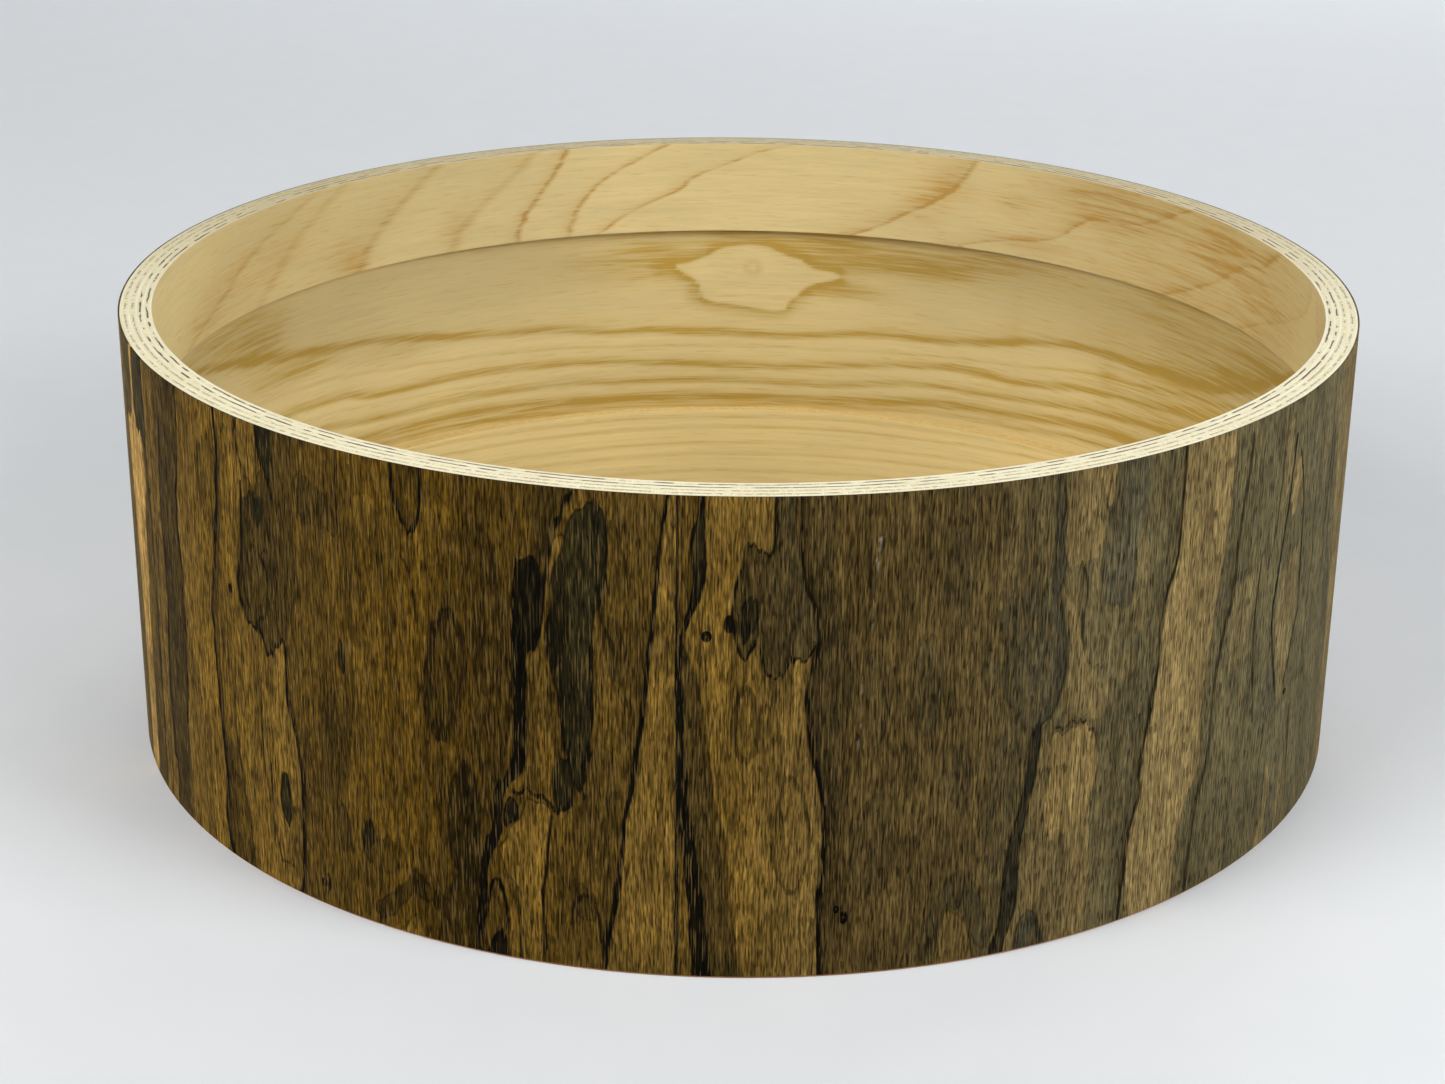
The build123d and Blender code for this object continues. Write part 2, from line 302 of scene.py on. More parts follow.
DARK_RIGHT = [
    (0.75, [(1, 116.5), (0.3, 110), (0, 104), (-0.1, 98), (0.2, 92), (0.9, 86.5), (1.2, 87.5), (1.7, 90.3),
        (2.2, 88), (2.5, 84), (3.2, 81.3), (3.9, 83.5), (4.3, 85.5), (4.9, 88.3), (5.6, 87.6), (6, 89.5),
        (6.5, 91.5), (6.4, 100), (5.4, 107), (5, 115), (4.6, 122), (4.6, 129), (3.2, 129), (3.1, 118),
        (2.8, 113.2), (2.2, 113.8), (1.6, 115.5)]),
    (1.8, [(0.4, 98), (0.8, 103), (1.6, 102), (2, 98), (1.7, 93.6), (0.8, 92)]),
    (0.35, [(2.3, 84), (2.6, 77.5), (3, 74.6), (3.4, 77), (3.6, 83)]),
    (1.5, [(-2.4, 129), (-2.3, 112), (-2.7, 103), (-3.5, 96.5), (-4, 92), (-3.9, 95), (-3.5, 100),
        (-3.1, 106), (-3.3, 114), (-3.2, 120), (-2.7, 124), (-2.7, 129)]),
    (0.6, [(-4.2, 92), (-3.4, 84), (-2.7, 73), (-2.1, 60), (-1.6, 48), (-0.9, 34), (-0.3, 18), (0.4, 5),
        (0.8, -1), (-2.4, -1), (-2.8, 15), (-3.5, 40), (-4.1, 60)]),
    (1.35, [(26.2, 129), (26.7, 110), (27, 104), (26.5, 98), (27, 90), (27.4, 80), (27.2, 72), (26.6, 66),
        (25.4, 64), (25, 70), (25.6, 80), (25.6, 90), (25.7, 100), (25.8, 110), (25.7, 129)]),
    (0.5, [(21, 96), (22, 84), (21, 78), (24, 62), (25.4, 64), (26.6, 70), (27, 84), (26, 98), (24, 100)]),
    (1.75, [(25.4, 66), (24.9, 48), (24.4, 40), (23.9, 30), (23.9, 20), (23.8, 12), (23, 4), (22.7, -1),
        (21.6, -1), (22.4, 8), (22.6, 20), (23, 32), (24, 45), (24.5, 58), (25, 66)]),
    (0.75, [(31.7, 129), (31, 117), (30.5, 108), (30.2, 100), (30.7, 93), (32, 90), (33.5, 90.2),
        (33.9, 96), (34, 110), (34.8, 122), (34.9, 129)]),
    (0.45, [(31.2, 60), (31.9, 64), (32.2, 62), (31.8, 56), (31.4, 56)]),
    (0.5, [(15.6, 11), (17, 20), (18.3, 26.5), (19.8, 24), (20.8, 16), (21.6, 5), (20.3, 5), (19.7, 12),
        (18.2, 17), (17.1, 12), (16.6, 1), (15.6, 2)]),
    (1.1, [(24, -1), (24.2, 8), (24.9, 11), (25.7, 9.5), (26.4, 3), (26.5, -1)]),
    (0.55, [(53, 62), (53.6, 56), (54.6, 47), (55.4, 43), (55.3, 39.5), (53.4, 38.5), (52.8, 46)]),
    (0.55, [(56, 28), (56.8, 14), (56.9, -1), (55.2, -1), (55.7, 10)]),
    (0.5, [(58.7, 129), (58.8, 95), (59.6, 92), (60.2, 104), (60.3, 129)]),
    (0.5, [(17.5, 129), (17.6, 127), (18, 126), (18.5, 127), (18.7, 129)]),
    (0.45, [(14.2, 84), (15.4, 92), (16.5, 84), (16.4, 70), (15.4, 64), (14.4, 72)]),
    (0.4, [(5.6, 128), (7.6, 128), (7.4, 108), (8.6, 96), (8.8, 70), (8.2, 40), (7.4, 46), (6.2, 66),
        (6, 84), (6.8, 94), (5.8, 106)]),
    (0.3, [(10.2, 88), (12, 86), (12.4, 74), (11.4, 62), (10.4, 70)]),
    (0.3, [(9.4, 44), (12.6, 50), (13.4, 38), (12, 24), (10, 22), (9, 32)]),
    (0.3, [(17.4, 120), (18.6, 116), (18.4, 96), (17.2, 92), (16.6, 104)]),
    (0.3, [(21.4, 62), (23.6, 60), (23, 40), (21.6, 24), (20.4, 34), (20.8, 50)]),
    (0.25, [(8.2, 100), (8.8, 97), (9.6, 88), (9.4, 76), (8.3, 72)]),
    (0.35, [(16.8, 58), (18, 61), (19.4, 55), (19, 48), (17.4, 46)]),
    (0.4, [(19.8, 82), (20.8, 86), (21.3, 78), (20.6, 73)]),
    (0.3, [(57.9, 62), (59, 66), (60, 52), (59, 44), (57.4, 45), (57.3, 54)]),
    (0.5, [(65.4, 84), (66.8, 74), (68.2, 66), (69.4, 46), (68.2, 50), (66.2, 64), (65.2, 76)]),
    (0.35, [(44.6, 96), (46, 94), (45.8, 84), (44.4, 70), (43.6, 74), (44, 86)]),
]

# The pale sapwood strip of the left leaf.
SAP_LEFT = [
    (1.0, [(-67.2, 129), (-67.5, 116), (-67.4, 110), (-67, 107.6), (-66.2, 106), (-65, 104.8), (-64.6, 96),
        (-65, 88), (-65.6, 81), (-65.5, 76), (-66, 66), (-66.7, 50), (-66.9, 30), (-67.5, 10), (-67.9, -1),
        (-70.2, -1), (-70.2, 20), (-70, 50), (-70.5, 70), (-70.9, 90), (-71.3, 105.2), (-70.4, 105.8),
        (-69, 107.5), (-68.4, 112), (-68.1, 120), (-68, 129)]),
]

# Each line is (width in mm at its first point, width at its last, strength, points).
LINES_LEFT = [
    (1.4, 1.4, 0.7, [(-90, 129), (-89.6, 80), (-90.2, 30), (-89.8, -1)]),
    (0.9, 0.9, 0.65, [(-82.4, 129), (-82.9, 60), (-82.2, -1)]),
    (1.0, 1.0, 0.65, [(-78.9, 129), (-78.3, 70), (-78.8, -1)]),
    (1.3, 1.3, 0.7, [(-63.6, 129), (-63.7, 100), (-63.5, 70), (-63.8, 30), (-64.3, -1)]),
    (1.2, 1.2, 0.75, [(-59.3, 115), (-59.9, 100), (-60.2, 90), (-60, 70), (-59.8, 64), (-60.6, 50),
        (-60.9, 30), (-61, 17), (-60.3, 15), (-60.6, -1)]),
    (1.1, 1.1, 0.8, [(-55, 129), (-55.3, 112), (-56, 100), (-56.2, 95), (-56, 65), (-56.5, 40), (-57, 30)]),
    (1.3, 1.3, 1.0, [(-48.4, 129), (-48.2, 115), (-48.8, 100), (-49.4, 86), (-50.2, 75), (-50.4, 68),
        (-50.1, 50), (-49.7, 30), (-49.5, 20), (-50, 12), (-49.1, -1)]),
    (0.9, 0.9, 0.8, [(-45.2, 129), (-44.9, 120), (-44.5, 115.5)]),
    (1.1, 1.0, 0.9, [(-44.8, 112), (-45.2, 95), (-46, 85), (-45.9, 80), (-45.3, 76), (-45, 72.5),
        (-44, 72.5), (-43.6, 74), (-43.2, 71), (-42.3, 65.5), (-41.3, 70), (-40.2, 73)]),
    (1.1, 1.0, 0.85, [(-42.5, 129), (-42.1, 120), (-41.3, 115), (-41, 110)]),
    (1.1, 1.2, 0.85, [(-40.1, 72), (-40, 55), (-39.2, 45), (-38.8, 30), (-39, 10), (-39.8, -1)]),
    (1.0, 0.9, 0.61, [(-27.2, 104), (-26.2, 98), (-26, 88)]),
    (0.9, 0.9, 0.65, [(-33.3, 128), (-33.5, 117), (-33.3, 110)]),
    (1.0, 0.8, 0.73, [(-13.8, 74), (-13.6, 66), (-13.6, 60)]),
    (1.0, 0.8, 0.73, [(-11.2, 60), (-12, 56), (-12.2, 50), (-11.9, 47)]),
    (0.9, 0.9, 0.65, [(-39.7, 56), (-38.9, 44), (-38.6, 30), (-38.8, 12), (-39.4, -1)]),
    (0.8, 0.8, 0.73, [(-17.5, 12), (-17.3, 4), (-17.2, -1)]),
    (0.9, 0.9, 0.5, [(-43.5, 60), (-43.9, 40), (-43.2, 25), (-42.9, 12)]),
    (0.8, 0.8, 0.7, [(-42.7, 35), (-42.8, 20), (-42, 8), (-41.2, 6.5), (-40.5, 8)]),
    (1.0, 1.0, 0.6, [(-44.6, 92), (-45.2, 84), (-44.6, 77), (-43.4, 75), (-42.3, 78), (-42, 85),
        (-42.5, 92), (-43.4, 95), (-44.6, 92)]),
    (0.9, 0.9, 0.6, [(-44.2, 106), (-43.6, 98), (-42.6, 94), (-41.6, 96), (-41.2, 104)]),
    (2.4, 2.4, 0.4, [(-24.8, 80), (-24.4, 88), (-23, 91), (-22, 86), (-21.9, 76), (-22.6, 66), (-23.8, 58),
        (-24.8, 62), (-25.2, 70), (-24.8, 80)]),
    (0.9, 0.9, 0.5, [(-62.3, 129), (-62, 100), (-62.4, 60), (-62, 20), (-62.6, -1)]),
    (0.9, 0.9, 0.5, [(-58.3, 129), (-58, 110), (-58.6, 84), (-58.2, 60)]),
    (1.0, 1.0, 0.5, [(-51.2, 118), (-51.6, 108), (-51, 98), (-50.2, 95)]),
    (0.9, 0.9, 0.5, [(-47.2, 60), (-47.6, 40), (-46.8, 20), (-46.4, -1)]),
    (3.6, 3.2, 0.95, [(-16.9, 92), (-17.1, 80), (-17.0, 70), (-16.9, 63)]),
    (3.0, 2.6, 0.97, [(-16.9, 64), (-17.3, 55), (-18.2, 50), (-18.9, 47), (-19.1, 40), (-19.2, 35),
        (-20, 30)]),
    (2.4, 1.3, 0.94, [(-19.9, 31), (-20.4, 24), (-20.6, 18), (-21.1, 10), (-20.7, 2), (-20.6, -1)]),
    (1.1, 1.0, 0.95, [(-27.8, 129), (-27.8, 120), (-26.6, 111.5), (-25.4, 119), (-25.2, 129)]),
    (1.0, 0.9, 0.94, [(-14.9, 104), (-14.5, 110), (-14, 118), (-13.3, 124), (-12.5, 129)]),
    (1.3, 1.1, 0.8, [(-17.8, 47), (-16.5, 48.5), (-15.5, 48), (-14, 43.2), (-13, 46)]),
    (0.9, 0.9, 0.73, [(-14.6, 42), (-15, 28), (-15.4, 20), (-15.1, 5)]),
    (1.0, 0.9, 0.9, [(-20.9, 8), (-20.4, 14), (-19.8, 20), (-19.2, 22), (-18.7, 17), (-18.6, 10),
        (-19.1, 6)]),
    (0.9, 1.5, 0.95, [(-5, 129), (-5.8, 115), (-6.1, 100), (-6.6, 85), (-7.1, 73), (-7.7, 60), (-8.1, 48),
        (-8.8, 36), (-9.2, 22), (-10, 10), (-10.2, -1)]),
    (1.0, 1.0, 0.4, [(-9.2, 129), (-9, 116), (-8.3, 110), (-8, 104)]),
    (1.0, 1.0, 0.61, [(-12.9, 12), (-12.6, 18), (-11.6, 22), (-10.7, 17), (-10.4, 8)]),
    (1.0, 1.0, 0.7, [(-11.2, 92), (-11.1, 80), (-11.2, 66), (-11.6, 60)]),
    (0.9, 0.9, 0.5, [(-9.9, 120), (-10.1, 106), (-10.4, 98), (-9.4, 88), (-9.5, 76)]),
    (1.0, 1.0, 0.65, [(-24.9, 86), (-25.3, 76), (-25.1, 64), (-24.3, 57)]),
    (0.9, 1.0, 0.73, [(-36.6, 10), (-36, 8.5), (-36.1, 5), (-36.6, 4)]),
]
LINES_RIGHT = [
    (1.8, 4.6, 1.0, [(-4.25, 92), (-4.25, 75), (-4.1, 58), (-3.7, 42), (-3.1, 26), (-2.6, 10), (-2.4, -1)]),
    (0.9, 0.9, 0.73, [(5, 129), (5, 115), (5.4, 107), (6.4, 100), (6.5, 92)]),
    (1.0, 1.4, 0.9, [(6.4, 91), (5.7, 80), (5.8, 72), (6.3, 60), (7, 50), (7.3, 38), (6.9, 18), (6.9, 10),
        (7.3, -1)]),
    (0.8, 0.8, 0.8, [(0.3, 110), (0, 104), (-0.1, 98), (0.2, 92), (0.9, 86.5), (1.7, 90.3), (2.2, 88),
        (2.5, 84), (3.2, 81.3), (4.3, 85.5), (4.9, 88.3), (5.6, 87.6), (6.3, 91)]),
    (0.8, 0.8, 0.73, [(1, 116.5), (1.6, 115.5), (2.2, 113.8), (2.8, 113.2), (3.1, 118), (3.1, 129)]),
    (1.0, 1.1, 0.75, [(38.5, 129), (38.5, 105), (38.2, 97), (37, 84), (37, 70), (36.3, 56), (35.8, 42),
        (36, 35), (35, 25), (34.5, 10), (34.3, -1)]),
    (1.4, 1.4, 0.6, [(47.2, 125), (47, 112), (46.2, 98), (46.1, 83), (45, 70), (44.3, 55), (44.3, 40),
        (43.3, 29), (42.7, 18), (42.5, -1)]),
    (0.9, 0.9, 0.65, [(50.3, 90), (49.8, 72), (50.6, 52), (50.9, 42)]),
    (1.0, 1.0, 0.84, [(55, 118), (54.3, 97), (53.2, 78), (53, 68), (54.2, 53), (54.8, 46)]),
    (0.9, 0.9, 0.77, [(56, 114), (57.7, 96), (58.3, 78), (58.5, 68), (57.3, 52), (56.7, 45)]),
    (0.8, 0.8, 0.57, [(53.2, 38), (52.9, 28), (52.7, 12)]),
    (0.9, 0.8, 0.65, [(58.5, 38), (59.1, 22), (59.5, 8)]),
    (1.0, 0.8, 0.52, [(60.6, 100), (61, 80), (60.9, 50)]),
    (0.9, 0.9, 0.52, [(64.2, 128), (64.6, 100), (64.4, 60)]),
    (1.0, 1.0, 0.57, [(65.2, 112), (65.6, 90), (66, 76)]),
    (1.0, 1.0, 0.5, [(4.6, 24), (3.6, 29), (3.2, 36), (3.3, 44), (3.7, 51), (4.4, 56), (5.2, 54), (5.9, 46),
        (6.1, 37), (5.7, 29), (4.6, 24)]),
    (1.6, 1.6, 0.42, [(0.1, 64), (0, 70), (0.3, 76), (0.9, 78.5), (1.5, 76), (1.8, 70), (1.7, 63),
        (1.1, 60), (0.5, 60.5), (0.1, 64)]),
    (0.4, 0.4, 0.69, [(10.3, 128), (10.3, 105)]),
    (1.0, 1.0, 0.61, [(26.8, 60.6), (28, 62), (30.5, 58.6)]),
    (0.8, 0.8, 0.57, [(53, 128), (52.8, 110), (52.4, 96), (51.4, 84)]),
    (0.8, 0.8, 0.57, [(28.4, 105), (29, 96), (28.8, 84), (29.6, 76), (31, 76)]),
    (0.8, 0.8, 0.57, [(73.5, 129), (73, 80), (74.2, 30), (74, -1)]),
    (0.9, 0.9, 0.73, [(81, 129), (80.6, 60), (81.2, -1)]),
]

# Soft dark shade on one side of a crisp edge: (side, reach in mm, strength, points from the top down).
SHADES_LEFT = [
    (-1, 3.0, 1.0, [(-14.9, 104), (-15.4, 88), (-16.3, 85), (-16.6, 70), (-16.5, 62), (-17.2, 53),
        (-18.4, 48), (-19, 43), (-19, 34), (-19.8, 30), (-20.4, 20), (-20.9, 10), (-20.5, -1)]),
    (-1, 1.8, 0.6, [(-17.2, 109), (-17.4, 92), (-17.6, 80), (-17.9, 62), (-18.8, 50), (-19.6, 40)]),
    (-1, 2.0, 0.5, [(-5, 129), (-6.1, 100), (-7.1, 73), (-8.1, 48), (-9.2, 22), (-10.2, -1)]),
    (1, 2.5, 0.35, [(-39.9, 72), (-39.8, 55), (-39, 45), (-38.6, 30), (-38.8, 10), (-39.6, -1)]),
    (1, 3.0, 0.35, [(-48.2, 129), (-48, 115), (-48.6, 100), (-49.2, 86), (-50.1, 68), (-49.8, 50),
        (-49.5, 30)]),
]
SHADES_RIGHT = [
    (1, 3.4, 0.85, [(6.5, 92), (5.7, 80), (5.8, 72), (6.3, 60), (7, 50), (7.3, 38), (6.9, 18), (7.3, -1)]),
    (1, 4.5, 0.65, [(5, 129), (5, 115), (5.4, 107), (6.4, 100), (6.5, 92)]),
    (-1, 2.5, 0.4, [(38.4, 129), (38.4, 105), (36.9, 84), (36.9, 70), (35.7, 42), (34.9, 25), (34.2, -1)]),
    (-1, 3.0, 0.3, [(47, 125), (46.9, 112), (46, 83), (44.2, 55), (43.2, 29), (42.4, -1)]),
]

# Soft washes of light (+) or dark (-): (azimuth, height, half width in degrees, half height in mm, amount).
WASHES_LEFT = [
    (-43.9, 85, 0.7, 8, 0.5), (-41.4, 50, 1.6, 26, 0.3), (-43.6, 28, 1.2, 12, 0.25),
    (-52, 62, 1.6, 12, 0.25), (-47, 72, 1.2, 8, 0.2), (-70, 28, 2, 12, 0.14), (-53, 40, 1.6, 8, -0.12),
    (-30, 90, 6, 20, 0.06), (-33, 30, 6, 20, -0.06), (-20, 100, 3, 30, -0.2), (-37.5, 100, 3, 25, -0.1),
    (-22, 70, 3, 20, -0.08), (-8.6, 62, 1.6, 12, -0.25), (-9.2, 100, 1.8, 26, -0.25),
    (-30, 112, 8, 12, -0.16), (-30, 22, 6, 14, -0.08), (-40, 84, 1, 10, -0.25), (-65, 90, 0.6, 14, -0.3),
    (-9, 40, 3, 30, -0.1), (-9.5, 80, 0.6, 18, 0.25), (-26.6, 120.5, 0.25, 1.2, 1.0),
    (-12, 20, 1.6, 12, 0.05), (-70, 98, 5, 36, 0.3), (-6.8, 66, 1.2, 44, 0.2), (-6.6, 15, 1.5, 14, 0.12),
    (-24, 122, 3, 7, 0.12), (-31.6, 95, 1.2, 8, -0.15),
]
WASHES_RIGHT = [
    (0.8, 69, 1.1, 8.5, -0.35), (4.5, 40, 1.3, 15, -0.12), (5, 12, 1.4, 14, 0.15),
    (-0.1, 60, 2.2, 16, -0.14), (3.4, 68, 1.6, 9, 0.15), (0.2, 122, 1.8, 8, 0.15), (39.5, 72, 1.8, 26, 0.2),
    (39, 30, 2, 20, 0.05), (-1.6, 92, 1.2, 14, 0.15), (8.5, 60, 1.2, 50, -0.25), (20, 110, 3, 18, 0.08),
    (12.5, 110, 1.5, 14, 0.08), (28.5, 48, 1.6, 10, 0.1), (32.8, 58, 1.5, 18, 0.14),
    (25.6, 26, 1.2, 10, 0.15), (11.4, 90, 1.8, 4, 0.3), (19, 35, 4, 20, -0.05), (48, 100, 3, 24, -0.08),
    (62, 70, 3, 30, 0.08), (53.8, 48, 0.8, 9, -0.1), (0.9, 99, 0.1, 2.5, 0.8), (15, 30, 3, 14, 0.06),
]

# Knots and bird pecks: (azimuth, height, half width in mm, half height in mm, kind).
KNOTS_LEFT = [
    (-47.3, 80.2, 1.1, 1.5, "solid"), (-36.7, 6.8, 1.2, 1.3, "ring"), (-26.6, 120.5, 0.5, 0.9, "fleck"),
]
KNOTS_RIGHT = [
    (-2.15, 93, 1.3, 1.4, "ring"), (-0.4, 96.3, 1.5, 2.6, "solid"), (8.4, 19, 0.8, 1.1, "ring"),
    (9, 16.6, 1.1, 1.8, "ring"), (57.1, 43.5, 1.3, 1.0, "solid"), (55.4, 42, 0.8, 0.7, "fleck"),
]
SCRATCHES_RIGHT = [
    (0.6, [(11.1, 117), (10.95, 112), (10.8, 107)]),
    (0.25, [(10.8, 101), (10.7, 92), (10.8, 84)]),
    (0.25, [(9.9, 82), (10.05, 72), (9.8, 62)]),
]

# The ground's tone by azimuth: (azimuth, lightness, greyness).
# The greyness is partly the wood's own and partly a painted sheen, light reflected off the shell's right
# side.
GROUND_LEFT = [
    (-95, -0.1, 0.3), (-80, 0.0, 0.35), (-72, 0.15, 0.35), (-66, -0.1, 0.2), (-60, -0.2, 0.15),
    (-50, -0.05, 0.0), (-40, -0.08, 0.1), (-34, -0.08, 0.05), (-28, 0.0, 0.0), (-24, -0.3, 0.0),
    (-20, -0.5, 0.02), (-15, -0.05, 0.05), (-8, -0.05, 0.12), (-4, 0.0, 0.12),
]
GROUND_RIGHT = [
    (-5, 0.0, 0.1), (0, 0.0, 0.1), (7, -0.1, 0.3), (12, -0.33, 0.36), (20, -0.3, 0.46), (25, -0.1, 0.7),
    (30, 0.06, 0.8), (34, -0.08, 0.9), (42, 0.06, 0.9), (50, 0.04, 1.0), (60, 0.1, 1.0), (66, 0.1, 1.0),
    (72, 0.2, 0.7), (86, 0.1, 0.6),
]

FIGURES = {
    "left": (
        GOLD_LEFT, DARK_LEFT, SAP_LEFT, LINES_LEFT, SHADES_LEFT, WASHES_LEFT, KNOTS_LEFT, [], GROUND_LEFT,
    ),
    "right": (
        GOLD_RIGHT, DARK_RIGHT, [], LINES_RIGHT, SHADES_RIGHT, WASHES_RIGHT, KNOTS_RIGHT, SCRATCHES_RIGHT,
        GROUND_RIGHT,
    ),
}
# Each leaf's figure, how far it is turned round the shell, and the seed of its noise. The unseen back
# leaves repeat the front ones, as leaves cut one after the other from a log do.
LEAF_FIGURE = {
    "front_left": ("left", 0.0, 11),
    "front_right": ("right", 0.0, 12),
    "back_right": ("left", 180.0, 13),
    "back_left": ("right", 180.0, 14),
}

FIBRE_BEND = [(0.4, 7, 11, 0), (0.2, 1.3, 5, 20)]
FIBRE_SLIP = [(1.1, 0.9, 16, 40), (1.2, 2.6, 24, 60)]
SHADE_BEND = [(0.5, 1.1, 6, 80)]
CLOUDS = [(0.12, 9, 26, 100)]
SCRATCH_BREAKS = [(1.0, 0.4, 1.3, 140)]
MOTTLE = [(1.0, 4.2, 15, 160), (0.25, 1.1, 12, 180)]
MOTTLE_DEPTH = 0.34
MOTTLE_MIDDLE = 0.62
PATCH_OVERLAP = 0.15  # millimetres inside a stronger patch, from where its strength counts
LEVEL_LINE_SPAN = 8  # millimetres of rise, up to which a line keeps the middle of its two widths
SEAM_INK = 0.4  # millimetres, half the width of the dark glue line at a seam
KNOT_FAR = 3.0  # knot widths
KNOT_DENTS = {  # the dent's edge and bottom in knot widths, and its depth in mm
    "solid": (1.1, 0.3, 0.16), "ring": (1.0, 0.3, 0.12), "fleck": (1.0, 0.2, 0.08),
}
FLECK_LIGHT = 0.7
SCRATCH_DENT = 0.05  # millimetres


def patch_field(patches, x, z):
    """Signed distance to the nearest patch edge, positive inside, and that patch's strength."""
    field = np.full(x.shape, -FAR)
    strength = np.zeros(x.shape)
    for level, outline in patches:
        path = rounded_path(in_millimetres(outline), True, 3)
        distance, inside = edge_distance(path, x, z, True)
        signed = np.where(inside, distance, -distance)
        stronger = signed > np.minimum(field, PATCH_OVERLAP)
        stronger &= (signed > field) | (level > strength)
        field = np.where(stronger, signed, field)
        strength = np.where(stronger, level, strength)
    return field, strength


def line_field(lines, x, z):
    """How far outside the nearest dark line each point is, and that line's strength."""
    field = np.full(x.shape, FAR)
    strength = np.zeros(x.shape)
    for first_width, last_width, level, points in lines:
        path = rounded_path(in_millimetres(points), False)
        distance, _ = edge_distance(path, x, z, False)
        span = path[-1, 1] - path[0, 1]
        share = np.clip((z - path[0, 1]) / span, 0, 1) if abs(span) > LEVEL_LINE_SPAN else 0.5
        outside = distance - (first_width + (last_width - first_width) * share) / 2
        nearer = outside < field
        field = np.where(nearer, outside, field)
        strength = np.where(nearer, level, strength)
    return field, strength


def shade_field(shades, x, z):
    """Soft shade that starts at an edge and fades away from it on one side."""
    total = np.zeros(x.shape)
    for side, reach, level, points in shades:
        path = rounded_path(in_millimetres(points), False)
        order = np.argsort(path[:, 1])
        edge = np.interp(z, path[order, 1], path[order, 0])
        away = (x - edge) * side
        ends = smooth_step(path[:, 1].min() - 3, path[:, 1].min(), z)
        ends = ends * smooth_step(path[:, 1].max() + 4, path[:, 1].max() - 2, z)
        total += level * ends * smooth_step(-0.2, 0.15, away) * np.exp(-np.clip(away, 0, None) / reach)
    return np.clip(total, 0, 1)


def ground_tone(ground, washes, azimuth, x, z, seed):
    """Lightness and greyness of the plain wood: listed steps, clouds, mottling and washes."""
    steps = np.array(ground)
    tone = np.interp(azimuth, steps[:, 0], steps[:, 1])
    grey = np.interp(azimuth, steps[:, 0], steps[:, 2])
    tone = tone + layered(CLOUDS, x, z, seed)
    mottle = smooth_step(-0.3, 0.2, layered(MOTTLE, x, z, seed))
    tone = tone + MOTTLE_DEPTH * (mottle - MOTTLE_MIDDLE)
    for centre, level, half_width, half_height, amount in washes:
        across = (x - centre * DEGREE_ARC) / (half_width * DEGREE_ARC)
        apart = across ** 2 + ((z - level) / half_height) ** 2
        tone = tone + amount * np.exp(-apart * 0.8)
    return tone, grey


def knot_marks(knots, x, z, tone):
    """Distances from solid and ringed knots in knot widths, their dents, and the tone with its flecks."""
    marks = {"solid": np.full(x.shape, KNOT_FAR), "ring": np.full(x.shape, KNOT_FAR)}
    dent = np.zeros(x.shape)
    for centre, level, half_width, half_height, kind in knots:
        apart = np.hypot((x - centre * DEGREE_ARC) / half_width, (z - level) / half_height)
        edge, middle, depth = KNOT_DENTS[kind]
        dent += depth * smooth_step(edge, middle, apart)
        if kind == "fleck":
            tone = tone + FLECK_LIGHT * smooth_step(1.2, 0.2, apart)
        else:
            marks[kind] = np.minimum(marks[kind], apart)
    return marks["solid"], marks["ring"], dent, tone


def scratch_field(scratches, x, z, seed):
    """Pale scratches, broken up along their length."""
    scratch = np.zeros(x.shape)
    for width, points in scratches:
        distance, _ = edge_distance(rounded_path(in_millimetres(points), False), x, z, False)
        scratch = np.maximum(scratch, 0.8 * width * smooth_step(width, 0.1, distance))
    return scratch * smooth_step(-0.1, 0.6, layered(SCRATCH_BREAKS, x, z, seed))


def veneer_figure(leaf, azimuth, height):
    """Named numbers of the wood figure at points of one leaf, and how deep it is dented there in mm."""
    figure, turn, seed = LEAF_FIGURE[leaf]
    golds, darks, saps, lines, shades, washes, knots, scratches, ground = FIGURES[figure]
    x = (azimuth - turn) * DEGREE_ARC
    z = height
    # Fibres push an outline far along the grain and only a little across it.
    x_bent = x + layered(FIBRE_BEND, x, z, seed)
    z_slipped = z + layered(FIBRE_SLIP, x, z, seed)
    gold, gold_level = patch_field(golds, x_bent, z_slipped)
    dark, dark_level = patch_field(darks, x_bent, z_slipped)
    sap, _ = patch_field(saps, x_bent, z_slipped)
    ink, ink_level = line_field(lines, x_bent, z_slipped)
    from_start = azimuth - LEAF_START[leaf]
    from_seam = np.minimum(from_start, LEAF_START[leaf] + LEAF_SWEEP - azimuth) * DEGREE_ARC - SEAM_INK
    at_seam = from_seam < ink
    ink = np.where(at_seam, from_seam, ink)
    ink_level = np.where(at_seam, 1.0, ink_level)
    shade = shade_field(shades, x_bent + layered(SHADE_BEND, x, z, seed), z_slipped)
    tone, grey = ground_tone(ground, washes, azimuth - turn, x, z, seed)
    solid_knot, ring_knot, dent, tone = knot_marks(knots, x, z, tone)
    scratch = scratch_field(scratches, x, z, seed)
    dent += SCRATCH_DENT * scratch
    return {
        "gold": gold, "gold_level": gold_level, "dark": dark, "dark_level": dark_level, "sap": sap,
        "ink": ink, "ink_level": ink_level, "shade": shade, "tone": tone, "grey": grey, "scratch": scratch,
        "solid_knot": solid_knot, "ring_knot": ring_knot,
    }, dent


# ---------------------------------------------------------------- the grain of the inside faces

